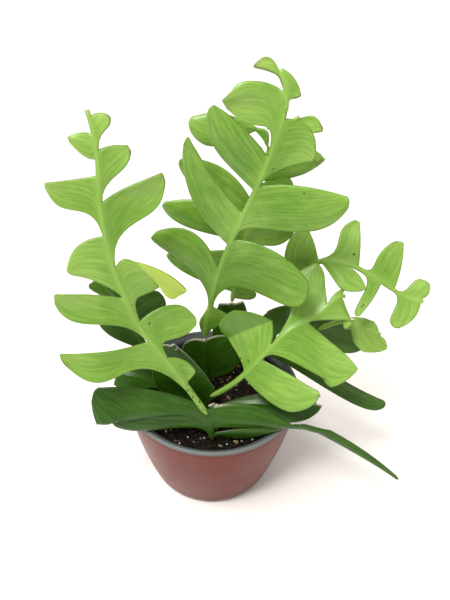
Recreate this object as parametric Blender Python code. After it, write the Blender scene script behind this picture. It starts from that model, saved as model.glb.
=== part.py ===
"""A fern leaf cactus in a nursery pot: old rooted cuttings and the lobed young shoots that grow from them.

Sizes are in millimetres and are scaled to metres when a mesh is made.  The pot stands on z = 0 with its axis
on the Z axis, and the plant's open side faces -Y.  Every stem is a blade: a raised midrib that follows a
curve in space, with lobes to its left and right that are drawn flat, in lengths along and across the midrib.
"""

import math
from collections import namedtuple

import bmesh
import bpy
import numpy as np
from mathutils import Matrix

MM = 0.001

# Pot
RIM_RADIUS = 75.0
POT_HEIGHT = 92.0
BASE_RADIUS = 53.0
WALL = 1.6
FLOOR = 3.0
BEAD = 3.0
LEDGE_WIDTH = 4.6
LEDGE_DROP = 2.6
WALL_BULGE = 2.4
FOOT_ROUNDING = 7.0
FOOT_WIDTH = 7.0
FOOT_HEIGHT = 2.4
CENTRE_PAD = 12.0
NOTCHES = 8
NOTCH_WIDTH = 9.0
DRAINS = 4
DRAIN_RADIUS = 4.5
DRAIN_CIRCLE = 26.0
POT_SEGMENTS = 48

# Soil
SOIL_DEPTH_BELOW_RIM = 8.0

# Stems
GAP = 0.4
BLADE = 2.0
RIB = 4.2
RIB_HALF_WIDTH = 2.6
RIB_TAPER = 0.45
ROW_SPACING = 9.0
LOBE_STEPS = 4
ROUND_END = 0.1

# The places of the stems below are for a pot of this rim radius, and they spread out with a wider rim.
PLANTED_RIM_RADIUS = 75.0

SOIL_LEVEL = POT_HEIGHT - SOIL_DEPTH_BELOW_RIM

# A lobe of a stem, in millimetres.  side is -1 on the left and 1 on the right.  The upper margin leaves the
# midrib at axil and bows out on its way to the tip at (tip_along, tip_out).  The lower margin leaves the
# midrib at root, hugs it for a while, and comes to the tip from the offset (fall_along, fall_out).  lift
# raises the tip off the stem's own plane, towards the side that the stem faces.
LOBE_SIZES = "side axil root tip_along tip_out bow hug fall_along fall_out lift flap"
Lobe = namedtuple("Lobe", LOBE_SIZES, defaults=[None])

# A flap: the end of a lobe, bent along a straight crease.  The crease joins the upper margin at
# (upper_along, upper_out) and the lower margin at (lower_along, lower_out).  From there the two margins go
# on to the tip with bow and belly, and turn is the angle of the bend in degrees.
Flap = namedtuple("Flap", "upper_along upper_out lower_along lower_out bow belly turn")

# A stem: the place of its lower end (across, back, height above the soil), the course of its midrib from
# there, the directions that it faces at its lower and upper ends, and its lobes.
Stem = namedtuple("Stem", "place course faces lobes")

STEMS = {
    "cutting_front": Stem(
        (2, -55, 1),
        [(0, 0, 0), (-1, 2, 15), (-1, 5, 25), (-2, 8, 32)],
        [(0, -0.75, 0.66), (0, -0.75, 0.66)],
        [
            Lobe(-1, 29, 4, 63, 87, 10, 29, -88, 23, 0),
            Lobe(1, 32, 11, -62, 155, 7, 4, 1, -2, 0, Flap(12, 79, 8, 73, 5, -2, 0)),
            Lobe(1, 8, 2, 11, 59, 3, 12, -31, -50, 0),
        ],
    ),
    "cutting_left": Stem(
        (-10, -26, 2),
        [(0, 0, 0), (-9, 4, 30), (-22, 10, 64)],
        [(0, -0.8, 0.6), (0, -0.8, 0.6)],
        [
            Lobe(1, 68, 4, 15, 18, 3, 0, -12, -5, 0),
            Lobe(-1, 68, 4, 68, 15, 5, 12, -41, 30, 0),
        ],
    ),
    "cutting_centre": Stem(
        (-3, 9, 1),
        [(0, 0, 0), (-3, 2, 22), (-5, 3, 48)],
        [(0, -0.8, 0.6), (0, -0.8, 0.6)],
        [
            Lobe(1, 48, 3, 51, 24, 4, 6, -50, 20, 0),
            Lobe(-1, 48, 3, 44, 18, 4, 3, -42, 15, 0),
        ],
    ),
    "cutting_low_right": Stem(
        (-3, -27, 2.2),
        [(0, 0, 0), (14, -1, 8), (38, -3, 15), (67, -5, 17), (87, -7, 24)],
        [(0, -0.7, 0.7), (0, -0.7, 0.7)],
        [
            Lobe(-1, 91, 7, 97, 4, 1, 49, -14, 14, 0),
            Lobe(1, 91, 6, 96, 4, 0, 50, -22, 20, 0),
        ],
    ),
    "cutting_back_left": Stem(
        (-43, 10, 2),
        [(0, 0, 0), (-13, 8, 25), (-31, 16, 56), (-45, 22, 84)],
        [(0.1, -0.85, 0.5), (0.1, -0.85, 0.5)],
        [
            Lobe(-1, 97, 74, 107, 12, 8, 17, -1, 12, 0),
            Lobe(-1, 72, 26, 75, 23, 0, 15, -20, 3, 0),
            Lobe(1, 95, 53, 75, 34, 1, 4, -33, 9, 0),
        ],
    ),
    "cutting_low_left": Stem(
        (-36, -6, 5),
        [(0, 0, 0), (-13, 0, 6), (-31, 2, 13), (-49, 4, 13)],
        [(0, -0.75, 0.66), (0, -0.75, 0.66)],
        [
            Lobe(1, 50, 6, 45, 9, 3, 1, -28, 8, 0),
            Lobe(-1, 50, 12, 52, 9, 0, 8, -18, 9, 0),
        ],
    ),
    "cutting_back": Stem(
        (7, 38, 1),
        [(0, 0, 0), (5, 4, 35), (7, 5, 64)],
        [(0, -0.85, 0.5), (0, -0.85, 0.5)],
        [
            Lobe(-1, 64, 4, 63, 11, 0, 3, -45, 10, 0),
            Lobe(1, 64, 4, 67, 10, 0, 9, -43, 16, 0),
        ],
    ),
    "cutting_right": Stem(
        (28, 20, 2),
        [(0, 0, 0), (16, 3, 28), (28, 6, 53), (34, 9, 76)],
        [(0, -0.8, 0.6), (0, -0.8, 0.6)],
        [
            Lobe(1, 82, 52, 74, 71, 4, 7, -19, 9, 0),
            Lobe(1, 49, 26, 50, 113, -3, 14, -25, 3, 4),
            Lobe(-1, 81, 5, 69, 15, 2, 3, -41, 10, 0),
        ],
    ),
    "shoot_left": Stem(
        (-3, -54, 29),
        [(0, 0, 0), (-22, 4, 37), (-49, 9, 79), (-65, 14, 127), (-70, 20, 170), (-70, 25, 202),
         (-75, 32, 223)],
        [(0.1, -0.7, 0.7), (0.25, -0.88, 0.4)],
        [
            Lobe(-1, 230, 214, 230, 16, 2, 0, -18, -6, 0),
            Lobe(-1, 204, 165, 200, 33, -1, 28, -26, -6, 0),
            Lobe(-1, 164, 119, 146, 30, 8, 0, -11, -23, 0),
            Lobe(-1, 118, 81, 137, 43, 2, 33, -32, 9, 0),
            Lobe(-1, 79, 28, 104, 58, -1, 72, -56, -6, 0),
            Lobe(1, 240, 221, 237, 12, 2, 11, -8, 1, 0),
            Lobe(1, 220, 188, 220, 20, 2, 17, -14, 2, 0),
            Lobe(1, 187, 142, 206, 41, 2, 42, -47, 7, 0),
            Lobe(1, 141, 98, 103, 42, 5, 23, -5, -17, 0, Flap(141, 14, 114, 27, 9, 14, 30)),
            Lobe(1, 96, 60, 67, 36, 20, 24, -11, -22, 0),
            Lobe(1, 59, 31, 35, 12, 5, 0, -3, -18, 0),
        ],
    ),
    "shoot_centre": Stem(
        (-8, 12, 51),
        [(0, 0, 0), (4, -4, 32), (12, -10, 77), (25, -16, 120), (38, -20, 157), (47, -22, 190),
         (49, -21, 208), (45, -18, 224)],
        [(0, -0.8, 0.6), (0, -0.92, 0.4)],
        [
            Lobe(-1, 33, 6, 19, 6, 0, 0, -12, -1, 0),
            Lobe(1, 37, 6, 30, 21, 0, 5, -2, -2, 0),
            Lobe(-1, 233, 220, 240, 16, 9, 10, -9, -14, 0),
            Lobe(-1, 220, 178, 205, 39, 31, 36, -27, -24, 0),
            Lobe(-1, 177, 150, 201, 45, 2, 2, -38, 11, 0),
            Lobe(-1, 131, 101, 170, 55, -6, 0, -46, 7, 0),
            Lobe(-1, 78, 40, 84, 56, 23, 35, -7, 2, 0),
            Lobe(1, 232, 207, 216, 9, 2, 0, -1, -18, 0),
            Lobe(1, 204, 159, 184, 27, 11, 5, -5, -15, 0),
            Lobe(1, 156, 114, 171, 60, 6, 17, -42, 3, 0),
            Lobe(1, 108, 43, 107, 64, 10, 50, -70, 11, 14),
        ],
    ),
    "shoot_front_right": Stem(
        (-1, -30, 24),
        [(0, 0, 0), (16, 0, 13), (31, 2, 30), (45, 6, 48), (60, 12, 62), (80, 21, 70), (94, 30, 80),
         (102, 34, 80)],
        [(-0.1, -0.75, 0.65), (-0.1, -0.8, 0.6)],
        [
            Lobe(-1, 70, 37, 72, 42, 2, 4, -4, -7, 0, Flap(82, 14, 49, 29, 2, 10, 30)),
            Lobe(-1, 124, 72, 132, 32, 5, 52, -61, 22, 0),
            Lobe(-1, 138, 126, 140, 6, 0, 0, -8, -2, 0),
            Lobe(1, 56, 34, 71, 51, 0, 0, -41, 15, 0),
            Lobe(1, 103, 59, 112, 53, 4, 18, -41, 9, 0),
            Lobe(1, 137, 105, 150, 24, 0, 14, -25, 8, 0),
        ],
    ),
    "shoot_back_right": Stem(
        (62, 30, 82),
        [(0, 0, 0), (8, -4, 26), (18, -8, 41), (37, -14, 45), (59, -20, 37), (83, -26, 25), (99, -30, 22)],
        [(0.1, -0.85, 0.5), (0.1, -0.85, 0.5)],
        [
            Lobe(-1, 78, 49, 68, 34, -1, 19, -15, -9, 0),
            Lobe(-1, 111, 82, 96, 35, 3, 14, -20, -18, 0),
            Lobe(-1, 134, 115, 137, 15, 4, 9, -21, 7, 0),
            Lobe(-1, 47, 8, 46, 32, 1, 0, 8, 5, 0),
            Lobe(1, 71, 49, 92, 11, 3, 0, -22, 25, 0),
            Lobe(1, 100, 84, 99, 32, 2, 14, -14, 4, 0),
            Lobe(1, 134, 112, 124, 26, 4, 12, -12, -2, 0),
        ],
    ),
    "shoot_back": Stem(
        (14, 43, 66),
        [(0, 0, 0), (5, 3, 32), (9, 5, 59), (15, 7, 95), (23, 7, 128), (33, 7, 152), (43, 7, 161)],
        [(0, -0.9, 0.4), (0, -0.9, 0.4)],
        [
            Lobe(-1, 139, 126, 136, 67, 13, 65, -42, -38, 0),
            Lobe(-1, 124, 96, 128, 22, 16, 19, -18, -5, 0),
            Lobe(-1, 94, 77, 112, 65, 15, 8, -28, -6, 0),
            Lobe(-1, 75, 53, 77, 72, 12, 13, -28, -8, 0),
            Lobe(-1, 51, 10, 36, 62, 0, 0, -20, -3, 0),
            Lobe(1, 168, 137, 182, 15, 9, 19, -1, 4, 0),
            Lobe(1, 136, 113, 176, 33, 9, 0, -50, 19, 0),
            Lobe(1, 111, 80, 106, 29, 20, 1, -14, -9, 0),
            Lobe(1, 72, 42, 75, 38, 9, 29, -29, -11, 0),
            Lobe(1, 31, 4, 13, 18, 0, 0, -10, 7, 0),
        ],
    ),
    "shoot_far_right": Stem(
        (87, 16, 60),
        [(0, 0, 0), (20, -4, 13), (36, -8, 11), (49, -10, 5)],
        [(0.1, -0.8, 0.55), (0.1, -0.8, 0.55)],
        [
            Lobe(-1, 53, 28, 45, 7, 1, 15, -36, -6, 0),
            Lobe(1, 54, 27, 68, 7, 4, 0, -26, 30, 0),
        ],
    ),
}


def clear_scene():
    """Remove what the startup file holds."""
    for obj in list(bpy.data.objects):
        bpy.data.objects.remove(obj, do_unlink=True)


def principled(name, colour, roughness, metallic=0.0):
    """A Principled material of one colour."""
    material = bpy.data.materials.new(name)
    material.use_nodes = True
    shader = material.node_tree.nodes["Principled BSDF"]
    shader.inputs["Base Color"].default_value = (*colour, 1.0)
    shader.inputs["Roughness"].default_value = roughness
    shader.inputs["Metallic"].default_value = metallic
    return material


def add_object(name, bm, material, location=(0.0, 0.0, 0.0)):
    """A named object from bm, which is in millimetres."""
    bmesh.ops.scale(bm, vec=(MM, MM, MM), verts=bm.verts)
    mesh = bpy.data.meshes.new(name)
    bm.to_mesh(mesh)
    bm.free()
    mesh.materials.append(material)
    obj = bpy.data.objects.new(name, mesh)
    obj.location = [MM * value for value in location]
    bpy.context.collection.objects.link(obj)
    return obj


def smooth(obj, angle):
    """Shade smooth, with sharp edges where faces meet at more than angle degrees."""
    obj.data.shade_smooth()
    obj.data.set_sharp_from_angle(angle=math.radians(angle))


def turned(profile, segments):
    """A body turned round the Z axis from a profile of (radius, height) that starts and ends on the axis."""
    bm = bmesh.new()
    rings = []
    for radius, height in profile[1:-1]:
        ring = []
        for i in range(segments):
            turn = 2 * math.pi * i / segments
            ring.append(bm.verts.new((radius * math.cos(turn), radius * math.sin(turn), height)))
        rings.append(ring)
    for lower, upper in zip(rings, rings[1:]):
        for i in range(segments):
            j = (i + 1) % segments
            bm.faces.new((lower[i], lower[j], upper[j], upper[i]))
    first = bm.verts.new((0.0, 0.0, profile[0][1]))
    last = bm.verts.new((0.0, 0.0, profile[-1][1]))
    for i in range(segments):
        j = (i + 1) % segments
        bm.faces.new((first, rings[0][j], rings[0][i]))
        bm.faces.new((last, rings[-1][i], rings[-1][j]))
    return bm


def outer_radius(height):
    """Radius of the pot's outer wall: a straight flare with a slight bulge, rounded in above the foot."""
    share = height / POT_HEIGHT
    radius = BASE_RADIUS + (RIM_RADIUS - BASE_RADIUS) * share + WALL_BULGE * math.sin(math.pi * share)
    if height < FOOT_ROUNDING:
        rise = 1 - height / FOOT_ROUNDING
        radius -= FOOT_ROUNDING * (1 - math.sqrt(1 - rise * rise)) * 0.5
    return radius


def inner_radius(height):
    """Radius of the pot's inner wall."""
    return outer_radius(height) - WALL


def pot_profile():
    """Half section of the pot from the axis under its floor, out, up, over the rim and back to the axis."""
    foot_inside = outer_radius(0) - FOOT_WIDTH
    ledge_top = POT_HEIGHT - BEAD * 0.5
    ledge_outside = RIM_RADIUS - BEAD
    ledge_inside = ledge_outside - LEDGE_WIDTH
    profile = [(0, 0), (CENTRE_PAD, 0), (CENTRE_PAD + 1, FOOT_HEIGHT)]
    profile += [(foot_inside - 1, FOOT_HEIGHT), (foot_inside, 0), (outer_radius(0), 0)]
    for height in (1.5, 4, FOOT_ROUNDING, 22, 42, 62, POT_HEIGHT - BEAD * 2):
        profile.append((outer_radius(height), height))
    for turn in (-60, -20, 20, 60, 100, 140, 170):
        angle = math.radians(turn)
        profile.append((
            RIM_RADIUS - BEAD * 0.5 + BEAD * 0.5 * math.cos(angle),
            POT_HEIGHT - BEAD * 0.5 + BEAD * 0.5 * math.sin(angle),
        ))
    profile.append((ledge_outside - 0.4, ledge_top - 0.5))
    profile.append((ledge_inside + 0.6, ledge_top - LEDGE_DROP + 0.4))
    profile.append((ledge_inside, ledge_top - LEDGE_DROP - 0.6))
    shoulder = ledge_top - LEDGE_DROP - 4
    for height in (shoulder, 60, 40, 20, FLOOR + FOOT_HEIGHT + 2):
        profile.append((min(inner_radius(height), ledge_inside), height))
    profile.append((inner_radius(FLOOR + FOOT_HEIGHT + 2) - 2, FLOOR + FOOT_HEIGHT))
    profile.append((0, FLOOR + FOOT_HEIGHT))
    return profile


def make_pot(material):
    """The thin pot with its beaded rim, its notched foot ring and its drain holes."""
    pot = add_object("pot", turned(pot_profile(), POT_SEGMENTS), material)
    cutters = bmesh.new()
    for i in range(NOTCHES):
        turn = 2 * math.pi * (i + 0.5) / NOTCHES
        found = bmesh.ops.create_cube(cutters, size=1.0)["verts"]
        bmesh.ops.scale(cutters, vec=(FOOT_WIDTH * 3, NOTCH_WIDTH, FOOT_HEIGHT * 2), verts=found)
        bmesh.ops.translate(cutters, vec=(outer_radius(0), 0, -0.3), verts=found)
        bmesh.ops.rotate(cutters, cent=(0, 0, 0), matrix=Matrix.Rotation(turn, 3, "Z"), verts=found)
    for i in range(DRAINS):
        turn = 2 * math.pi * (i + 0.5) / DRAINS
        found = bmesh.ops.create_cone(
            cutters,
            cap_ends=True,
            segments=12,
            radius1=DRAIN_RADIUS,
            radius2=DRAIN_RADIUS,
            depth=FLOOR * 4,
        )["verts"]
        place = (DRAIN_CIRCLE * math.cos(turn), DRAIN_CIRCLE * math.sin(turn), FOOT_HEIGHT)
        bmesh.ops.translate(cutters, vec=place, verts=found)
    cutter = add_object("pot_cutter", cutters, material)
    cutter.hide_render = True
    cutter.display_type = "WIRE"
    cut = pot.modifiers.new("Notches and drains", "BOOLEAN")
    cut.operation = "DIFFERENCE"
    cut.solver = "EXACT"
    cut.object = cutter
    smooth(pot, 40)


def make_soil(material):
    """The potting mix: it fills the pot's inner wall with a small clearance, up to the soil level."""
    floor = FLOOR + FOOT_HEIGHT + GAP
    profile = [(0, floor), (inner_radius(FLOOR + FOOT_HEIGHT + 2) - 2 - GAP, floor)]
    ledge_inside = RIM_RADIUS - BEAD - LEDGE_WIDTH
    for height in (FLOOR + FOOT_HEIGHT + 2 + GAP, 20, 40, 60, SOIL_LEVEL):
        profile.append((min(inner_radius(height), ledge_inside) - GAP, height))
    profile.append((0, SOIL_LEVEL))
    smooth(add_object("soil", turned(profile, POT_SEGMENTS), material), 40)


class Midrib:
    """A smooth curve through a stem's course, with the across and facing directions along it."""

    def __init__(self, course, faces):
        points = np.array(course, float)
        steps = np.linalg.norm(np.diff(points, axis=0), axis=1)
        knots = np.concatenate([[0.0], np.cumsum(steps)])
        slopes = np.empty_like(points)
        slopes[1:-1] = (points[2:] - points[:-2]) / (knots[2:] - knots[:-2])[:, None]
        slopes[0] = 2 * (points[1] - points[0]) / steps[0] - slopes[1]
        slopes[-1] = 2 * (points[-1] - points[-2]) / steps[-1] - slopes[-2]
        fine = np.linspace(0.0, knots[-1], 400)
        span = np.clip(np.searchsorted(knots, fine, side="right") - 1, 0, len(steps) - 1)
        width = steps[span][:, None]
        t = (fine[:, None] - knots[span][:, None]) / width
        self.points = (
            (2 * t**3 - 3 * t**2 + 1) * points[span]
            + (t**3 - 2 * t**2 + t) * width * slopes[span]
            + (3 * t**2 - 2 * t**3) * points[span + 1]
            + (t**3 - t**2) * width * slopes[span + 1]
        )
        lengths = np.linalg.norm(np.diff(self.points, axis=0), axis=1)
        self.along = np.concatenate([[0.0], np.cumsum(lengths)])
        self.length = self.along[-1]
        self.tangents = np.gradient(self.points, self.along, axis=0)
        self.faces = np.array(faces, float)

    def half_width(self, along):
        """Half the width of the midrib, which narrows towards its tip."""
        return RIB_HALF_WIDTH * (1 - RIB_TAPER * np.clip(along / self.length, 0, 1))

    def place(self, along, out, off):
        """Points at lengths along the midrib, out to its right and off towards its facing side."""
        near = np.clip(along, 0.0, self.length)
        centre = np.stack([np.interp(near, self.along, self.points[:, i]) for i in range(3)], axis=-1)
        tangent = np.stack([np.interp(near, self.along, self.tangents[:, i]) for i in range(3)], axis=-1)
        tangent /= np.linalg.norm(tangent, axis=-1, keepdims=True)
        share = (near / self.length)[..., None]
        facing = self.faces[0] * (1 - share) + self.faces[1] * share
        across = np.cross(tangent, facing)
        across /= np.linalg.norm(across, axis=-1, keepdims=True)
        normal = np.cross(across, tangent)
        centre = centre + tangent * (along - near)[..., None]
        return centre + across * out[..., None] + normal * off[..., None]


def bezier(points, t):
    """Points of a cubic Bezier curve at the values t."""
    p = np.array(points, float)
    t = t[:, None]
    return (1 - t) ** 3 * p[0] + 3 * t * (1 - t) ** 2 * p[1] + 3 * t**2 * (1 - t) * p[2] + t**3 * p[3]


def margin(start, end, bow, t):
    """A margin from start to end at the values t: a cubic curve that bows to the left of its way by bow."""
    span = end - start
    side = bow * np.array([span[1], -span[0]]) / np.linalg.norm(span)
    return bezier([start, start + span / 3 + side, start + span * 2 / 3 + side, end], t)


def rounded(lower, upper, tip, share):
    """The chords between the two margins, with the last one bent round the tip."""
    grid = lower[:, None] * (1 - share) + upper[:, None] * share
    grid[-1] = (1 - share) ** 2 * lower[-1] + 2 * share * (1 - share) * tip + share**2 * upper[-1]
    return grid


def lobe_grid(lobe, rib, rows):
    """Flat coordinates (along, out, off) of a lobe: a line of points for each step out, root to axil."""
    start = np.array([lobe.root, rib.half_width(lobe.root)])
    end = np.array([lobe.axil, rib.half_width(lobe.axil)])
    tip = np.array([lobe.tip_along, lobe.tip_out], float)
    share = ((rows - lobe.root) / (lobe.axil - lobe.root))[:, None]
    hug = start + np.array([lobe.hug, 0.12 * lobe.hug])
    fall = np.array([lobe.fall_along, lobe.fall_out])
    flap = lobe.flap
    if flap is None:
        t = np.linspace(0.0, 1.0 - ROUND_END, LOBE_STEPS + 1)
        grid = rounded(bezier([start, hug, tip + fall, tip], t), margin(end, tip, lobe.bow, t), tip, share)
        off = lobe.lift * (grid[..., 1] / lobe.tip_out) ** 2
        return np.concatenate([grid, off[..., None]], axis=-1)
    upper = np.array([flap.upper_along, flap.upper_out], float)
    lower = np.array([flap.lower_along, flap.lower_out], float)
    t = np.linspace(0.0, 1.0, LOBE_STEPS + 1)
    inner = bezier([start, hug, lower + fall, lower], t)[:, None] * (1 - share)
    inner = inner + margin(end, upper, lobe.bow, t)[:, None] * share
    t = np.linspace(0.0, 1.0 - ROUND_END, LOBE_STEPS + 1)
    outer = rounded(margin(lower, tip, -flap.belly, t), margin(upper, tip, flap.bow, t), tip, share)[1:]
    crease = (upper - lower) / np.linalg.norm(upper - lower)
    beyond = np.array([-crease[1], crease[0]])
    reach = (outer - lower) @ beyond
    bend = math.radians(flap.turn)
    outer = outer + (reach * (math.cos(bend) - 1))[..., None] * beyond
    off = abs(reach) * math.sin(bend)
    outer = np.concatenate([outer, off[..., None]], axis=-1)
    return np.concatenate([np.pad(inner, ((0, 0), (0, 0), (0, 1))), outer])


def stem_rows(stem, length):
    """Lengths along the midrib of its rows: every axil and root, the two ends, and even steps between."""
    stops = {0.0, length}
    for lobe in stem.lobes:
        stops |= {float(lobe.root), min(float(lobe.axil), length)}
    stops = sorted(stops)
    stops = [stop for stop, after in zip(stops, stops[1:] + [1e9]) if after - stop > 0.5]
    rows = []
    for low, high in zip(stops, stops[1:]):
        count = max(1, round((high - low) / ROW_SPACING))
        rows.extend(np.linspace(low, high, count + 1)[:-1])
    return np.array(rows + [stops[-1]])


def make_stem(name, stem, material):
    """One grown stem: a midrib strip and its lobes as one sheet, thickened, with a heavier midrib."""
    rib = Midrib(stem.course, stem.faces)
    rows = stem_rows(stem, rib.length)
    half = rib.half_width(rows)
    bm = bmesh.new()
    weights = bm.verts.layers.deform.verify()

    def add_points(places, thick):
        found = []
        for place in places:
            vert = bm.verts.new(place)
            vert[weights][0] = thick
            found.append(vert)
        return found

    zero = np.zeros_like(rows)
    strip = {
        -1: add_points(rib.place(rows, -half, zero), BLADE / RIB),
        0: add_points(rib.place(rows, zero, zero), 1.0),
        1: add_points(rib.place(rows, half, zero), BLADE / RIB),
    }
    for left, right in ((-1, 0), (0, 1)):
        for i in range(len(rows) - 1):
            bm.faces.new((strip[left][i], strip[right][i], strip[right][i + 1], strip[left][i + 1]))
    for lobe in stem.lobes:
        first = int(np.argmin(abs(rows - lobe.root)))
        last = int(np.argmin(abs(rows - lobe.axil)))
        flat = lobe_grid(lobe, rib, rows[first:last + 1])
        places = rib.place(flat[..., 0], lobe.side * flat[..., 1], flat[..., 2])
        lines = [strip[lobe.side][first:last + 1]]
        for line in places[1:]:
            lines.append(add_points(line, BLADE / RIB))
        for inner, outer in zip(lines, lines[1:]):
            for i in range(len(inner) - 1):
                corners = [inner[i], outer[i], outer[i + 1], inner[i + 1]]
                bm.faces.new(corners[::lobe.side])
    x, y, height = stem.place
    spread = RIM_RADIUS / PLANTED_RIM_RADIUS
    obj = add_object(name, bm, material, (x * spread, y * spread, SOIL_LEVEL + GAP + height))
    group = obj.vertex_groups.new(name="thickness")
    thicken = obj.modifiers.new("Blade and midrib", "SOLIDIFY")
    thicken.thickness = RIB * MM
    thicken.offset = 0.0
    thicken.vertex_group = group.name
    thicken.use_rim = True
    smooth(obj, 60)


def main():
    clear_scene()
    plastic = principled("pot plastic", (0.22, 0.055, 0.04), 0.45)
    mix = principled("potting mix", (0.012, 0.009, 0.007), 0.95)
    old = principled("old stem", (0.03, 0.1, 0.012), 0.4)
    young = principled("young stem", (0.2, 0.42, 0.05), 0.45)
    make_pot(plastic)
    make_soil(mix)
    for name, stem in STEMS.items():
        make_stem(name, stem, old if name.startswith("cutting") else young)


main()
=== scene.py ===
"""A fern leaf cactus in a nursery pot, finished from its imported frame: stems, soil, pot and studio.

Every stem is worked out again from the same course and lobes as its frame node, on a fine grid, and the pot
from its own section.  Lengths in the tables and in the named values of the stems, the pot and the soil are
in millimetres.  The frame's own values, the properties, the meshes and the studio are in metres.
"""

import math
from collections import namedtuple

import bpy
import numpy as np
from mathutils import Matrix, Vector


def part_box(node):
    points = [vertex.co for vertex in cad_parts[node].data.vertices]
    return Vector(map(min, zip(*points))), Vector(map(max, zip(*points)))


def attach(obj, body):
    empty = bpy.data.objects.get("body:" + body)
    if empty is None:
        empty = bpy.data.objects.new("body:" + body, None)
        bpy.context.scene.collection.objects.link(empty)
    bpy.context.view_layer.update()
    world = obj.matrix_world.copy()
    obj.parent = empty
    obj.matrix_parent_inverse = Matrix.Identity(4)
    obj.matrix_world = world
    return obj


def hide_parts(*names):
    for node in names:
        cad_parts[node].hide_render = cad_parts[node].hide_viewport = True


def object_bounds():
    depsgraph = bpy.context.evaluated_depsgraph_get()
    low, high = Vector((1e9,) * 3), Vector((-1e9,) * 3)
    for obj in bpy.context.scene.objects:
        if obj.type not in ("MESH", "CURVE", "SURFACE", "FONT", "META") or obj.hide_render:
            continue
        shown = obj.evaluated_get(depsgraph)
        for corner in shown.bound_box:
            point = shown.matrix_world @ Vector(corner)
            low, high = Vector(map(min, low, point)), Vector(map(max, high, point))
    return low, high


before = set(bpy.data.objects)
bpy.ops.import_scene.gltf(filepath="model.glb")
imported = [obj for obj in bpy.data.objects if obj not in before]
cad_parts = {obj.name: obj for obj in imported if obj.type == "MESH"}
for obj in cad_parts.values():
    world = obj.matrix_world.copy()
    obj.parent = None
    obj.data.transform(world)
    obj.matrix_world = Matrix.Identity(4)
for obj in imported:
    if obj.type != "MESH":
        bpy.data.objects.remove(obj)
CAD_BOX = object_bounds()
SOIL_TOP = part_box("soil")[1].z

bl_info = {
    "name": "Potted fern leaf cactus",
    "version": (1, 0, 0),
    "blender": (4, 5, 0),
    "location": "3D View > Sidebar > Plant",
    "description": "Lobed stems, potting mix, pot finishes and a plain studio for a packed plant frame",
    "category": "Add Mesh",
}

MM = 0.001
BODY = "root"

# Stems: the gap under each, the midrib's half width and taper, how blunt the tips are, and the grid's spacing
STEM_GAP = 0.4
RIB_HALF_WIDTH = 2.6
RIB_TAPER = 0.45
ROUND_END = 0.05
RIB_COLUMNS = 10
FOOT_TAPER = 9.0
LINE_SPACING = 1.9
FLAP_LINE_SPACING = 3.0
CREASE_ROUNDING = 1.0
CUT_ZONE = 3.0

# How the lobes differ: the least and greatest of what lobe_form calls wave, and the range of their shades
LEAST_WAVE = (-4.4, 0.5, 0.5, 0.0, -3.0)
GREATEST_WAVE = (4.4, 1.4, 1.1, 1.0, 4.5)
SHADES = (-0.3, 0.22)

# How far from a margin, a midrib or a cut the skin changes, and the scale of the vein map along and overall
MARGIN_REACH = 4.0
RIB_REACH = 1.9
CUT_REACH = 12.0
VEIN_STRETCH = 0.05
VEIN_SCALE = 0.01

# The pot's section, in millimetres, and the spokes of its mesh
RIM_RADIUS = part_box("pot")[1].x / MM
POT_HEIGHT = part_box("pot")[1].z / MM
BASE_RADIUS = 53.0
WALL = 1.6
FLOOR = 5.4
BEAD = 3.0
LEDGE_WIDTH = 4.6
LEDGE_DROP = 2.6
WALL_BULGE = 2.4
FOOT_ROUNDING = 7.0
FOOT_WIDTH = 7.0
FOOT_HEIGHT = 2.4
NOTCHES = 8
NOTCH_WIDTH = 9.0
NOTCH_HEIGHT = 2.1
DRAINS = 4
DRAIN_RADIUS = 4.5
DRAIN_CIRCLE = 26.0
CENTRE_PAD = 12.0
POT_SPOKES = 192

# Soil: the grid of its surface, how deep that piece goes, and what the loose grains keep clear of
SOIL_RINGS = 96
SOIL_SPOKES = 288
SOIL_CAKE = 4.0
WALL_CLEARANCE = 0.3
GRAIN_CLEARANCE = 2.0
FOOT_CLEARANCE = 4.0

# A lobe of a stem, in millimetres.  side is -1 on the left and 1 on the right.  The upper margin leaves the
# midrib at axil and bows out on its way to the tip at (tip_along, tip_out).  The lower margin leaves the
# midrib at root, hugs it for a while, and comes to the tip from the offset (fall_along, fall_out).  lift
# raises the tip off the stem's own plane, towards the side that the stem faces.
LOBE_SIZES = "side axil root tip_along tip_out bow hug fall_along fall_out lift flap"
Lobe = namedtuple("Lobe", LOBE_SIZES, defaults=[None])

# A flap: the end of a lobe, bent along a straight crease.  The crease joins the upper margin at
# (upper_along, upper_out) and the lower margin at (lower_along, lower_out).  From there the two margins go
# on to the tip with bow and belly, and turn is the angle of the bend in degrees.
Flap = namedtuple("Flap", "upper_along upper_out lower_along lower_out bow belly turn")

# A stem: the place of its lower end (across, back, height above the soil), the course of its midrib from
# there, the directions that it faces at its lower and upper ends, and its lobes.
Stem = namedtuple("Stem", "place course faces lobes")

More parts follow.
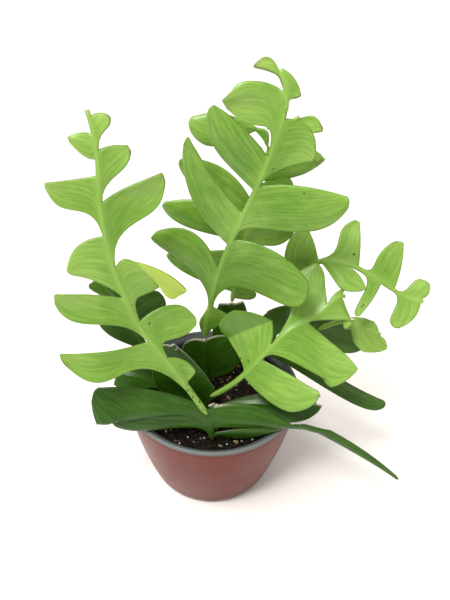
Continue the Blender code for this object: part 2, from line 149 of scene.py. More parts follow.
STEMS = {
    "cutting_front": Stem(
        (2, -55, 1),
        [(0, 0, 0), (-1, 2, 15), (-1, 5, 25), (-2, 8, 32)],
        [(0, -0.75, 0.66), (0, -0.75, 0.66)],
        [
            Lobe(-1, 29, 4, 63, 87, 10, 29, -88, 23, 0),
            Lobe(1, 32, 11, -62, 155, 7, 4, 1, -2, 0, Flap(12, 79, 8, 73, 5, -2, 0)),
            Lobe(1, 8, 2, 11, 59, 3, 12, -31, -50, 0),
        ],
    ),
    "cutting_left": Stem(
        (-10, -26, 2),
        [(0, 0, 0), (-9, 4, 30), (-22, 10, 64)],
        [(0, -0.8, 0.6), (0, -0.8, 0.6)],
        [
            Lobe(1, 68, 4, 15, 18, 3, 0, -12, -5, 0),
            Lobe(-1, 68, 4, 68, 15, 5, 12, -41, 30, 0),
        ],
    ),
    "cutting_centre": Stem(
        (-3, 9, 1),
        [(0, 0, 0), (-3, 2, 22), (-5, 3, 48)],
        [(0, -0.8, 0.6), (0, -0.8, 0.6)],
        [
            Lobe(1, 48, 3, 51, 24, 4, 6, -50, 20, 0),
            Lobe(-1, 48, 3, 44, 18, 4, 3, -42, 15, 0),
        ],
    ),
    "cutting_low_right": Stem(
        (-3, -27, 2.2),
        [(0, 0, 0), (14, -1, 8), (38, -3, 15), (67, -5, 17), (87, -7, 24)],
        [(0, -0.7, 0.7), (0, -0.7, 0.7)],
        [
            Lobe(-1, 91, 7, 97, 4, 1, 49, -14, 14, 0),
            Lobe(1, 91, 6, 96, 4, 0, 50, -22, 20, 0),
        ],
    ),
    "cutting_back_left": Stem(
        (-43, 10, 2),
        [(0, 0, 0), (-13, 8, 25), (-31, 16, 56), (-45, 22, 84)],
        [(0.1, -0.85, 0.5), (0.1, -0.85, 0.5)],
        [
            Lobe(-1, 97, 74, 107, 12, 8, 17, -1, 12, 0),
            Lobe(-1, 72, 26, 75, 23, 0, 15, -20, 3, 0),
            Lobe(1, 95, 53, 75, 34, 1, 4, -33, 9, 0),
        ],
    ),
    "cutting_low_left": Stem(
        (-36, -6, 5),
        [(0, 0, 0), (-13, 0, 6), (-31, 2, 13), (-49, 4, 13)],
        [(0, -0.75, 0.66), (0, -0.75, 0.66)],
        [
            Lobe(1, 50, 6, 45, 9, 3, 1, -28, 8, 0),
            Lobe(-1, 50, 12, 52, 9, 0, 8, -18, 9, 0),
        ],
    ),
    "cutting_back": Stem(
        (7, 38, 1),
        [(0, 0, 0), (5, 4, 35), (7, 5, 64)],
        [(0, -0.85, 0.5), (0, -0.85, 0.5)],
        [
            Lobe(-1, 64, 4, 63, 11, 0, 3, -45, 10, 0),
            Lobe(1, 64, 4, 67, 10, 0, 9, -43, 16, 0),
        ],
    ),
    "cutting_right": Stem(
        (28, 20, 2),
        [(0, 0, 0), (16, 3, 28), (28, 6, 53), (34, 9, 76)],
        [(0, -0.8, 0.6), (0, -0.8, 0.6)],
        [
            Lobe(1, 82, 52, 74, 71, 4, 7, -19, 9, 0),
            Lobe(1, 49, 26, 50, 113, -3, 14, -25, 3, 4),
            Lobe(-1, 81, 5, 69, 15, 2, 3, -41, 10, 0),
        ],
    ),
    "shoot_left": Stem(
        (-3, -54, 29),
        [(0, 0, 0), (-22, 4, 37), (-49, 9, 79), (-65, 14, 127), (-70, 20, 170), (-70, 25, 202),
         (-75, 32, 223)],
        [(0.1, -0.7, 0.7), (0.25, -0.88, 0.4)],
        [
            Lobe(-1, 230, 214, 230, 16, 2, 0, -18, -6, 0),
            Lobe(-1, 204, 165, 200, 33, -1, 28, -26, -6, 0),
            Lobe(-1, 164, 119, 146, 30, 8, 0, -11, -23, 0),
            Lobe(-1, 118, 81, 137, 43, 2, 33, -32, 9, 0),
            Lobe(-1, 79, 28, 104, 58, -1, 72, -56, -6, 0),
            Lobe(1, 240, 221, 237, 12, 2, 11, -8, 1, 0),
            Lobe(1, 220, 188, 220, 20, 2, 17, -14, 2, 0),
            Lobe(1, 187, 142, 206, 41, 2, 42, -47, 7, 0),
            Lobe(1, 141, 98, 103, 42, 5, 23, -5, -17, 0, Flap(141, 14, 114, 27, 9, 14, 30)),
            Lobe(1, 96, 60, 67, 36, 20, 24, -11, -22, 0),
            Lobe(1, 59, 31, 35, 12, 5, 0, -3, -18, 0),
        ],
    ),
    "shoot_centre": Stem(
        (-8, 12, 51),
        [(0, 0, 0), (4, -4, 32), (12, -10, 77), (25, -16, 120), (38, -20, 157), (47, -22, 190),
         (49, -21, 208), (45, -18, 224)],
        [(0, -0.8, 0.6), (0, -0.92, 0.4)],
        [
            Lobe(-1, 33, 6, 19, 6, 0, 0, -12, -1, 0),
            Lobe(1, 37, 6, 30, 21, 0, 5, -2, -2, 0),
            Lobe(-1, 233, 220, 240, 16, 9, 10, -9, -14, 0),
            Lobe(-1, 220, 178, 205, 39, 31, 36, -27, -24, 0),
            Lobe(-1, 177, 150, 201, 45, 2, 2, -38, 11, 0),
            Lobe(-1, 131, 101, 170, 55, -6, 0, -46, 7, 0),
            Lobe(-1, 78, 40, 84, 56, 23, 35, -7, 2, 0),
            Lobe(1, 232, 207, 216, 9, 2, 0, -1, -18, 0),
            Lobe(1, 204, 159, 184, 27, 11, 5, -5, -15, 0),
            Lobe(1, 156, 114, 171, 60, 6, 17, -42, 3, 0),
            Lobe(1, 108, 43, 107, 64, 10, 50, -70, 11, 14),
        ],
    ),
    "shoot_front_right": Stem(
        (-1, -30, 24),
        [(0, 0, 0), (16, 0, 13), (31, 2, 30), (45, 6, 48), (60, 12, 62), (80, 21, 70), (94, 30, 80),
         (102, 34, 80)],
        [(-0.1, -0.75, 0.65), (-0.1, -0.8, 0.6)],
        [
            Lobe(-1, 70, 37, 72, 42, 2, 4, -4, -7, 0, Flap(82, 14, 49, 29, 2, 10, 30)),
            Lobe(-1, 124, 72, 132, 32, 5, 52, -61, 22, 0),
            Lobe(-1, 138, 126, 140, 6, 0, 0, -8, -2, 0),
            Lobe(1, 56, 34, 71, 51, 0, 0, -41, 15, 0),
            Lobe(1, 103, 59, 112, 53, 4, 18, -41, 9, 0),
            Lobe(1, 137, 105, 150, 24, 0, 14, -25, 8, 0),
        ],
    ),
    "shoot_back_right": Stem(
        (62, 30, 82),
        [(0, 0, 0), (8, -4, 26), (18, -8, 41), (37, -14, 45), (59, -20, 37), (83, -26, 25), (99, -30, 22)],
        [(0.1, -0.85, 0.5), (0.1, -0.85, 0.5)],
        [
            Lobe(-1, 78, 49, 68, 34, -1, 19, -15, -9, 0),
            Lobe(-1, 111, 82, 96, 35, 3, 14, -20, -18, 0),
            Lobe(-1, 134, 115, 137, 15, 4, 9, -21, 7, 0),
            Lobe(-1, 47, 8, 46, 32, 1, 0, 8, 5, 0),
            Lobe(1, 71, 49, 92, 11, 3, 0, -22, 25, 0),
            Lobe(1, 100, 84, 99, 32, 2, 14, -14, 4, 0),
            Lobe(1, 134, 112, 124, 26, 4, 12, -12, -2, 0),
        ],
    ),
    "shoot_back": Stem(
        (14, 43, 66),
        [(0, 0, 0), (5, 3, 32), (9, 5, 59), (15, 7, 95), (23, 7, 128), (33, 7, 152), (43, 7, 161)],
        [(0, -0.9, 0.4), (0, -0.9, 0.4)],
        [
            Lobe(-1, 139, 126, 136, 67, 13, 65, -42, -38, 0),
            Lobe(-1, 124, 96, 128, 22, 16, 19, -18, -5, 0),
            Lobe(-1, 94, 77, 112, 65, 15, 8, -28, -6, 0),
            Lobe(-1, 75, 53, 77, 72, 12, 13, -28, -8, 0),
            Lobe(-1, 51, 10, 36, 62, 0, 0, -20, -3, 0),
            Lobe(1, 168, 137, 182, 15, 9, 19, -1, 4, 0),
            Lobe(1, 136, 113, 176, 33, 9, 0, -50, 19, 0),
            Lobe(1, 111, 80, 106, 29, 20, 1, -14, -9, 0),
            Lobe(1, 72, 42, 75, 38, 9, 29, -29, -11, 0),
            Lobe(1, 31, 4, 13, 18, 0, 0, -10, 7, 0),
        ],
    ),
    "shoot_far_right": Stem(
        (87, 16, 60),
        [(0, 0, 0), (20, -4, 13), (36, -8, 11), (49, -10, 5)],
        [(0.1, -0.8, 0.55), (0.1, -0.8, 0.55)],
        [
            Lobe(-1, 53, 28, 45, 7, 1, 15, -36, -6, 0),
            Lobe(1, 54, 27, 68, 7, 4, 0, -26, 30, 0),
        ],
    ),
}

# How much paler each of these stems is than the greenest one
PALENESS = {
    "shoot_left": 0.7,
    "shoot_front_right": 0.3,
    "shoot_back_right": 0.75,
    "shoot_far_right": 0.9,
    "cutting_right": 0.9,
    "cutting_front": 0.3,
}

# Corky specks: on which stem, how far along its midrib and out to its right, and their size, in millimetres
SPECKS = (
    ("shoot_centre", 164, 30, 0.9),
    ("shoot_centre", 115, 41, 1.0),
    ("shoot_centre", 170, 5, 0.7),
    ("shoot_centre", 172, 10, 0.6),
    ("shoot_centre", 194, -7, 0.8),
    ("shoot_left", 90, 6.5, 0.9),
    ("shoot_left", 28, -1, 0.9),
    ("shoot_left", 24, 1, 0.6),
    ("shoot_left", 20, -1.2, 0.8),
    ("shoot_left", 14, 0.8, 0.9),
    ("shoot_left", 11, -1.4, 0.6),
    ("shoot_left", 7, -0.4, 0.8),
    ("shoot_back_right", 71, -8, 1.0),
    ("shoot_back_right", 96, 24, 0.8),
    ("shoot_front_right", 44, -11, 0.8),
    ("shoot_front_right", 47, -6, 0.7),
)

# Knobs of pale callus on the cut ends of the cuttings, written as the specks are
KNOBS = (
    ("cutting_front", 33, 1.4, 2.2),
    ("cutting_front", 32, 4.5, 1.3),
    ("cutting_front", 32, -2.5, 1.2),
    ("cutting_centre", 48, 0, 1.6),
    ("cutting_left", 64, 2, 1.3),
)


# ---------------------------------------------------------------------------------------------------------
# Sizes and colours that a user would change
# ---------------------------------------------------------------------------------------------------------


def length(name, description, default):
    """A length property, in metres."""
    return bpy.props.FloatProperty(
        name=name, description=description, default=default, min=0.0, unit="LENGTH", subtype="DISTANCE"
    )


def share(name, description, default):
    """A number from 0 to 1."""
    return bpy.props.FloatProperty(
        name=name, description=description, default=default, min=0.0, max=1.0, subtype="FACTOR"
    )


def colour(name, description, default):
    """A linear colour."""
    return bpy.props.FloatVectorProperty(
        name=name, description=description, default=default, size=3, min=0.0, max=1.0, subtype="COLOR"
    )


class PlantSizes(bpy.types.PropertyGroup):
    """Sizes of the stems and of the soil's surface."""

    blade: length("Blade thickness", "Thickness of a lobe away from its margin", 0.0021)
    rib: length("Midrib thickness", "Thickness of a stem along the middle of its midrib", 0.0036)
    edge: length("Margin rounding", "Width over which a lobe thins to its rounded margin", 0.0012)
    row: length("Row spacing", "Greatest distance between two rows of a stem's grid", 0.0022)
    grain: length("Grain size", "Size of a large soil grain", 0.0021)
    relief: length("Soil relief", "Height of the clods on the soil's surface", 0.0026)
    grains: bpy.props.IntProperty(name="Grains", description="Loose grains of each kind", default=520, min=0)


class PlantColours(bpy.types.PropertyGroup):
    """Colours and gloss of the plant, the pot and the studio."""

    young: colour("Young stem", "Middle tone of a young shoot", (0.105, 0.24, 0.009))
    young_pale: colour("Young stem, pale", "Tone of a shoot's tips and thin places", (0.275, 0.44, 0.08))
    young_deep: colour("Young stem, deep", "Tone of a shoot's base and its veins", (0.038, 0.13, 0.002))
    old: colour("Old stem", "Middle tone of a rooted cutting", (0.024, 0.078, 0.003))
    old_pale: colour("Old stem, worn", "Tone of a cutting's dull greyish bloom", (0.066, 0.155, 0.015))
    old_deep: colour("Old stem, deep", "Tone of a cutting low in the pot", (0.002, 0.018, 0.001))
    scar: colour("Scar", "Corky spots and dry tips", (0.1, 0.045, 0.016))
    callus: colour("Callus", "Healed cut edges of the cuttings", (0.45, 0.42, 0.32))
    pot_outside: colour("Pot outside", "Dusty red-brown of the pot's outer wall", (0.125, 0.022, 0.015))
    pot_inside: colour("Pot inside", "Grey of the rim and the inner wall", (0.07, 0.082, 0.077))
    mix: colour("Potting mix", "Dark peat", (0.0035, 0.0027, 0.0018))
    floor: colour("Floor", "Pale surface that the pot stands on", (0.93, 0.885, 0.845))
    young_spread: share("Shoot spread", "How far the stems differ from each other in paleness", 0.5)
    gloss: share("Stem roughness", "Roughness of the waxy skin", 0.33)


# ---------------------------------------------------------------------------------------------------------
# Geometry of a stem
# ---------------------------------------------------------------------------------------------------------


class Midrib:
    """A smooth curve through a stem's course, with the across and facing directions along it."""

    def __init__(self, course, faces):
        """Cubic Hermite spans between the points of the course, with slopes from the neighbouring points."""
        points = np.array(course, float)
        steps = np.linalg.norm(np.diff(points, axis=0), axis=1)
        knots = np.concatenate([[0.0], np.cumsum(steps)])
        slopes = np.empty_like(points)
        slopes[1:-1] = (points[2:] - points[:-2]) / (knots[2:] - knots[:-2])[:, None]
        slopes[0] = 2 * (points[1] - points[0]) / steps[0] - slopes[1]
        slopes[-1] = 2 * (points[-1] - points[-2]) / steps[-1] - slopes[-2]
        fine = np.linspace(0.0, knots[-1], 400)
        span = np.clip(np.searchsorted(knots, fine, side="right") - 1, 0, len(steps) - 1)
        width = steps[span][:, None]
        t = (fine[:, None] - knots[span][:, None]) / width
        self.points = (
            (2 * t**3 - 3 * t**2 + 1) * points[span]
            + (t**3 - 2 * t**2 + t) * width * slopes[span]
            + (3 * t**2 - 2 * t**3) * points[span + 1]
            + (t**3 - t**2) * width * slopes[span + 1]
        )
        lengths = np.linalg.norm(np.diff(self.points, axis=0), axis=1)
        self.along = np.concatenate([[0.0], np.cumsum(lengths)])
        self.length = self.along[-1]
        self.tangents = np.gradient(self.points, self.along, axis=0)
        self.faces = np.array(faces, float)

    def half_width(self, along):
        """Half the width of the midrib, which narrows towards its tip."""
        return RIB_HALF_WIDTH * (1 - RIB_TAPER * np.clip(along / self.length, 0, 1))

    def place(self, along, out, off):
        """Points at lengths along the midrib, out to its right and off towards its facing side."""
        near = np.clip(along, 0.0, self.length)
        centre = np.stack([np.interp(near, self.along, self.points[:, i]) for i in range(3)], axis=-1)
        tangent = np.stack([np.interp(near, self.along, self.tangents[:, i]) for i in range(3)], axis=-1)
        tangent /= np.linalg.norm(tangent, axis=-1, keepdims=True)
        part = (near / self.length)[..., None]
        facing = self.faces[0] * (1 - part) + self.faces[1] * part
        across = np.cross(tangent, facing)
        across /= np.linalg.norm(across, axis=-1, keepdims=True)
        normal = np.cross(across, tangent)
        centre = centre + tangent * (along - near)[..., None]
        return centre + across * out[..., None] + normal * off[..., None]


def bezier(points, t):
    """Points of a cubic Bezier curve at the values t."""
    p = np.array(points, float)
    t = t[:, None]
    return (1 - t) ** 3 * p[0] + 3 * t * (1 - t) ** 2 * p[1] + 3 * t**2 * (1 - t) * p[2] + t**3 * p[3]


def smooth_steps(count):
    """Values from 0 to 1 that crowd towards both ends: half a cosine wave."""
    return 0.5 - 0.5 * np.cos(np.linspace(0.0, math.pi, count + 1))


def margin_curve(start, end, bow, t):
    """A margin from start to end at the values t: a cubic curve that bows to the left of its way by bow."""
    span = end - start
    side = bow * np.array([span[1], -span[0]]) / np.linalg.norm(span)
    return bezier([start, start + span / 3 + side, start + span * 2 / 3 + side, end], t)


def round_tipped(lower, upper, tip, part):
    """The chords between two margins, bent round the tip by a bulge that spreads back from the last one."""
    grid = lower[:, None] * (1 - part) + upper[:, None] * part
    bent = (1 - part) ** 2 * lower[-1] + 2 * part * (1 - part) * tip + part**2 * upper[-1]
    spread = (np.linspace(0.0, 1.0, len(lower)) ** 6)[:, None, None]
    return grid + spread * (bent - grid[-1])[None]


def lobe_grid(lobe, rib, rows, steps):
    """Flat coordinates (along, out, off) of a lobe, and a mask that is 1 beyond the crease of a flap.

    The two margins are cubic curves.  Each line of the grid is a chord from the lower margin to the upper
    one, at equal curve values that crowd towards the tip.  A flap turns about its crease: its points keep
    their place along the crease, while their distance from it becomes a height.
    """
    start = np.array([lobe.root, rib.half_width(lobe.root)])
    end = np.array([lobe.axil, rib.half_width(lobe.axil)])
    tip = np.array([lobe.tip_along, lobe.tip_out], float)
    part = ((rows - lobe.root) / (lobe.axil - lobe.root))[:, None]
    hug = start + np.array([lobe.hug, 0.12 * lobe.hug])
    fall = np.array([lobe.fall_along, lobe.fall_out])
    t = (1 - ROUND_END) * np.sin(np.linspace(0.0, math.pi / 2, steps + 1))
    if lobe.flap is None:
        below = bezier([start, hug, tip + fall, tip], t)
        grid = round_tipped(below, margin_curve(end, tip, lobe.bow, t), tip, part)
        off = lobe.lift * (grid[..., 1] / lobe.tip_out) ** 2
        return np.concatenate([grid, off[..., None]], axis=-1), np.zeros_like(off)
    flap = lobe.flap
    upper = np.array([flap.upper_along, flap.upper_out], float)
    lower = np.array([flap.lower_along, flap.lower_out], float)
    near = np.linspace(0.0, 1.0, steps + 1)
    inner = bezier([start, hug, lower + fall, lower], near)[:, None] * (1 - part)
    inner = inner + margin_curve(end, upper, lobe.bow, near)[:, None] * part
    below = margin_curve(lower, tip, -flap.belly, t)
    outer = round_tipped(below, margin_curve(upper, tip, flap.bow, t), tip, part)[1:]
    crease = (upper - lower) / np.linalg.norm(upper - lower)
    beyond = np.array([-crease[1], crease[0]])
    reach = (outer - lower) @ beyond
    bend = math.radians(flap.turn)
    outer = outer + (reach * (math.cos(bend) - 1))[..., None] * beyond
    off = (np.sqrt(reach**2 + CREASE_ROUNDING**2) - CREASE_ROUNDING) * math.sin(bend)
    outer = np.concatenate([outer, off[..., None]], axis=-1)
    mask = np.concatenate([np.zeros(inner.shape[:2]), np.ones(outer.shape[:2])])
    return np.concatenate([np.pad(inner, ((0, 0), (0, 0), (0, 1))), outer]), mask


def stem_rows(stem, rib, spacing):
    """Lengths along the midrib of its rows: every axil and root, both ends, and crowding steps between."""
    stops = {0.0, rib.length}
    for lobe in stem.lobes:
        stops |= {float(lobe.root), min(float(lobe.axil), rib.length)}
    stops = sorted(stops)
    stops = [stop for stop, after in zip(stops, stops[1:] + [1e9]) if after - stop > 0.5]
    rows = []
    for low, high in zip(stops, stops[1:]):
        count = max(3, round(1.4 * (high - low) / spacing))
        rows.append(low + (high - low) * smooth_steps(count)[:-1])
    return np.concatenate(rows + [stops[-1:]])


def grid_faces(index):
    """Quads of a grid of point numbers."""
    corners = [index[:-1, :-1], index[1:, :-1], index[1:, 1:], index[:-1, 1:]]
    return np.stack(corners, axis=-1).reshape(-1, 4)


def point_normals(points, faces):
    """Unit normals of points: the sum of the normals of the quads round each one."""
    corners = points[faces]
    normal = np.cross(corners[:, 2] - corners[:, 0], corners[:, 3] - corners[:, 1])
    total = np.zeros_like(points)
    for i in range(4):
        np.add.at(total, faces[:, i], normal)
    return total / np.maximum(np.linalg.norm(total, axis=1, keepdims=True), 1e-12)


def boundary_points(faces, count):
    """A mask of the points on edges that belong to one face only."""
    ends = np.concatenate([faces[:, [i, (i + 1) % 4]] for i in range(4)])
    unique, uses = np.unique(np.sort(ends, axis=1), axis=0, return_counts=True)
    mask = np.zeros(count, bool)
    mask[unique[uses == 1].ravel()] = True
    return mask


def nearest_distance(points, targets):
    """Distance from each point to the nearest target, in blocks of points to save memory."""
    found = []
    for block in np.array_split(points, len(points) // 2000 + 1):
        gaps = block[:, None] - targets[None]
        found.append(np.sqrt((gaps * gaps).sum(-1).min(1)))
    return np.concatenate(found)


def lobe_form(lobe, part, reach, wave):
    """How far a lobe's points lie off its flat shape, in millimetres.

    The blade is cupped a little across its width, its margins wave gently, and its outer part curls.
    """
    size = min(abs(lobe.tip_out), 60.0) / 60.0
    cup = wave[0] * size * 4 * part * (1 - part) * reach * (1 - 0.4 * reach)
    ripple = wave[1] * size * reach * np.sin(2 * math.pi * (wave[2] * reach + part * 0.6 + wave[3]))
    curl = wave[4] * size * reach**2
    return cup + ripple * (0.3 + np.abs(2 * part - 1)) + curl


class Sheet:
    """The middle surface of a stem as it is put together: points, quads and what the materials read."""

    def __init__(self):
        self.points = []
        self.faces = []
        self.flat = []
        self.veins = []
        self.values = []
        self.count = 0

    def add(self, points, flat, veins, values):
        """Add a grid of points, and return their numbers in the same layout."""
        index = np.arange(self.count, self.count + points[..., 0].size).reshape(points.shape[:-1])
        self.count += index.size
        self.points.append(points.reshape(-1, 3))
        self.flat.append(flat.reshape(-1, 2))
        self.veins.append(veins.reshape(-1, 2))
        self.values.append(values.reshape(-1, 5))
        return index


def stem_sheet(stem, rib, rows, rng):
    """The midrib strip and its lobes as one sheet of quads.

    Each point has vein coordinates and five values: tone, millimetres from the midrib's line, the flap mask
    with the sign of its side, a mask of the upper margin of the last lobes, where a cutting was cut, and a
    shade that changes at random from lobe to lobe, with painted shading on top of it: darker over the inner
    part of a lobe, paler outwards and towards its upper margin, and fading to nothing at the midrib.
    """
    sheet = Sheet()
    half = rib.half_width(rows) * np.clip(0.3 + rows / FOOT_TAPER, 0, 1) ** 0.7
    out = half[:, None] * np.linspace(-1.0, 1.0, RIB_COLUMNS + 1)[None]
    along = np.repeat(rows[:, None], RIB_COLUMNS + 1, axis=1)
    veins = np.stack([out, along * VEIN_STRETCH], axis=-1)
    cut = along > rib.length - 0.5
    none = np.zeros_like(out)
    values = np.stack([along / rib.length, abs(out), none, cut, none], axis=-1)
    strip = sheet.add(rib.place(along, out, none), np.stack([along, out], axis=-1), veins, values)
    sheet.faces.append(grid_faces(strip)[:, ::-1])
    for number, lobe in enumerate(stem.lobes):
        wave = rng.uniform(LEAST_WAVE, GREATEST_WAVE)
        shade = rng.uniform(*SHADES)
        first = int(np.argmin(abs(rows - lobe.root)))
        last = int(np.argmin(abs(rows - lobe.axil)))
        inner = rows[first:last + 1]
        reach = math.hypot(lobe.tip_out, lobe.tip_along - lobe.root)
        spacing = LINE_SPACING if lobe.flap is None else FLAP_LINE_SPACING
        flat, flap = lobe_grid(lobe, rib, inner, int(np.clip(reach / spacing, 10, 64)))
        width = inner[-1] - inner[0]
        part = ((inner - inner[0]) / width)[None].repeat(len(flat), axis=0)
        gaps = np.linalg.norm(np.diff(flat.mean(axis=1), axis=0), axis=1)
        outward = np.concatenate([[0.0], np.cumsum(gaps)]) / gaps.sum()
        outward = outward[:, None].repeat(len(inner), axis=1)
        off = flat[..., 2] + lobe_form(lobe, part, outward, wave)
        signed = flat[..., :2] * [1, lobe.side]
        places = rib.place(signed[..., 0], signed[..., 1], off)
        sideways = part * width * (1 - 0.35 * outward) + 40 * (number + 1)
        veins = np.stack([sideways, outward * reach * VEIN_STRETCH], axis=-1)
        tone = np.clip(inner.mean() / rib.length + 0.25 * outward, 0, 1.2)
        cut = (part > 0.9) & (lobe.axil > rib.length - CUT_ZONE)
        # Each lobe's random shade plus painted shading: darker over its inner part, paler outwards and
        # towards the upper margin
        shades = (shade + 0.5 * (outward - 0.45) + 0.2 * (part - 0.5)) * np.clip(3 * outward, 0, 1)
        values = np.stack([tone, flat[..., 1], lobe.side * flap, cut, shades], axis=-1)
        outer = sheet.add(places[1:], signed[1:], veins[1:], values[1:])
        root = strip[first:last + 1, -1 if lobe.side > 0 else 0]
        faces = grid_faces(np.concatenate([root[None], outer]))
        sheet.faces.append(faces if lobe.side > 0 else faces[:, ::-1])
    return sheet


def thickened(sheet, values, sizes):
    """A closed shell round the sheet, in millimetres: front and back meet along the margins.

    Half the thickness at a point is half the blade's, plus the midrib's extra height as a bell curve of the
    distance from its line, times a quarter circle that falls to nothing over the last stretch before the
    margin.
    """
    points = np.concatenate(sheet.points)
    faces = np.concatenate(sheet.faces)
    normals = point_normals(points, faces)
    border = boundary_points(faces, len(points))
    margin = nearest_distance(points, points[border])
    edge = sizes.edge / MM
    rounding = np.sqrt(np.clip(1 - (1 - np.clip(margin / edge, 0, 1)) ** 2, 0, 1))
    bell = np.exp(-((values[:, 1] / (0.8 * RIB_HALF_WIDTH)) ** 2))
    half = (0.5 * sizes.blade + 0.5 * (sizes.rib - sizes.blade) * bell) / MM * rounding
    half[border] = 0.0
    inside = np.flatnonzero(~border)
    behind = np.arange(len(points))
    behind[inside] = len(points) + np.arange(len(inside))
    rise = normals * half[:, None]
    shell = np.concatenate([points + rise, points[inside] - rise[inside]])
    quads = np.concatenate([faces, behind[faces][:, ::-1]])
    order = np.concatenate([np.arange(len(points)), inside])
    return shell, quads, margin, order


def new_mesh(name, points, faces, smooth=True):
    """A mesh object at the origin from arrays of points in metres and of faces."""
    mesh = bpy.data.meshes.new(name)
    count, corners = faces.shape
    mesh.vertices.add(len(points))
    mesh.vertices.foreach_set("co", points.astype(np.float32).ravel())
    mesh.loops.add(count * corners)
    mesh.loops.foreach_set("vertex_index", faces.astype(np.int32).ravel())
    mesh.polygons.add(count)
    mesh.polygons.foreach_set("loop_start", np.arange(count, dtype=np.int32) * corners)
    mesh.update(calc_edges=True)
    mesh.validate()
    mesh.polygons.foreach_set("use_smooth", np.full(count, smooth))
    obj = bpy.data.objects.new(name, mesh)
    bpy.context.scene.collection.objects.link(obj)
    return obj


def set_attribute(obj, name, values):
    """A float value for each point of a mesh."""
    layer = obj.data.attributes.new(name, "FLOAT", "POINT")
    layer.data.foreach_set("value", np.asarray(values, np.float32))


def set_map(obj, name, values):
    """A UV map from a pair of values for each point of a mesh."""
    loops = np.empty(len(obj.data.loops), np.int32)
    obj.data.loops.foreach_get("vertex_index", loops)
    layer = obj.data.uv_layers.new(name=name)
    layer.data.foreach_set("uv", np.asarray(values, np.float32)[loops].ravel())


def make_stem(name, stem, sizes, bloom, material):
    """One stem as a closed shell, with its vein map and the values that its material reads.

    It returns the place of each speck and knob on the stem.
    """
    rng = np.random.default_rng(sum(map(ord, name)))
    rib = Midrib(stem.course, stem.faces)
    rows = stem_rows(stem, rib, sizes.row / MM)
    sheet = stem_sheet(stem, rib, rows, rng)
    values = np.concatenate(sheet.values)
    shell, quads, margin, order = thickened(sheet, values, sizes)
    x, y, height = stem.place
    base = np.array([x, y, SOIL_TOP / MM + STEM_GAP + height])
    inside_box = np.clip((shell + base) * MM, np.array(CAD_BOX[0]), np.array(CAD_BOX[1]))
    obj = new_mesh(name + "_skin", inside_box, quads)
    set_map(obj, "veins", np.concatenate(sheet.veins)[order] * VEIN_SCALE)
    edge = margin[order]
    tone, out, flap, cut, shade = values[order].T
    set_attribute(obj, "margin", np.clip(edge / MARGIN_REACH, 0, 1))
    set_attribute(obj, "tone", tone)
    set_attribute(obj, "rib", np.exp(-((out / RIB_REACH) ** 2)))
    set_attribute(obj, "flap", flap)
    # bloom holds the stem's paleness plus each lobe's random shade and its painted shading
    set_attribute(obj, "bloom", bloom + shade)
    set_attribute(obj, "cut", cut * np.clip(1.4 - edge, 0, 1) * np.exp(-((out / CUT_REACH) ** 2)))
    obj.data.materials.append(material)
    flat = np.concatenate(sheet.flat)
    return obj, {mark: inside_box[nearest(flat, mark[1:3])] for mark in SPECKS + KNOBS if mark[0] == name}


def nearest(flat, place):
    """The number of the sheet's point that is nearest to a flat place."""
    return int(np.argmin(np.hypot(*(flat - place).T)))


# ---------------------------------------------------------------------------------------------------------
# Geometry of the pot
# ---------------------------------------------------------------------------------------------------------


def outer_radius(height):
    """Radius of the pot's outer wall: a straight flare with a sine bulge, and an arc above the foot."""
    part = height / POT_HEIGHT
    radius = BASE_RADIUS + (RIM_RADIUS - BASE_RADIUS) * part + WALL_BULGE * np.sin(math.pi * part)
    rise = np.clip(1 - height / FOOT_ROUNDING, 0, 1)
    return radius - 0.5 * FOOT_ROUNDING * (1 - np.sqrt(1 - rise * rise))


def pot_section():
    """Half section of the pot as (radius, height, inside): under its floor, up, round the bead, and down.

    The wall follows its radius at heights that crowd towards the foot, the bead is an arc, and the ledge is a
    cubic curve.  inside is 0 on the red outside and 1 from the bead inwards.
    """
    foot_inside = float(outer_radius(np.zeros(1))[0]) - FOOT_WIDTH
    outside = [(CENTRE_PAD, 0.0), (CENTRE_PAD + 1, FOOT_HEIGHT), (foot_inside - 1, FOOT_HEIGHT),
               (foot_inside, 0.0)]
    height = (POT_HEIGHT - 1.6 * BEAD) * (1 - np.cos(np.linspace(0.0, math.pi / 2, 40)))
    wall = np.stack([outer_radius(height), height], axis=-1)
    angle = np.radians(np.linspace(-70.0, 185.0, 18))
    centre = np.array([RIM_RADIUS - 0.5 * BEAD, POT_HEIGHT - 0.5 * BEAD])
    bead = centre + 0.5 * BEAD * np.stack([np.cos(angle), np.sin(angle)], axis=-1)
    ledge = RIM_RADIUS - BEAD - LEDGE_WIDTH
    top = POT_HEIGHT - 0.5 * BEAD
    t = np.linspace(0.0, 1.0, 8)
    shelf = bezier([(ledge + LEDGE_WIDTH - 0.4, top - 0.4), (ledge + 1.5, top - LEDGE_DROP + 0.6),
                    (ledge + 0.3, top - LEDGE_DROP + 0.3), (ledge, top - LEDGE_DROP - 1.4)], t)
    height = np.linspace(top - LEDGE_DROP - 4, FLOOR + 2, 12)
    inner = np.stack([np.minimum(outer_radius(height) - WALL, ledge), height], axis=-1)
    floor = [(float(inner[-1, 0]) - 2.0, FLOOR)]
    red = np.concatenate([outside, wall])
    grey = np.concatenate([bead, shelf, inner, floor])
    section = np.concatenate([red, grey])
    return np.concatenate([section, (np.arange(len(section)) >= len(red))[:, None]], axis=1)


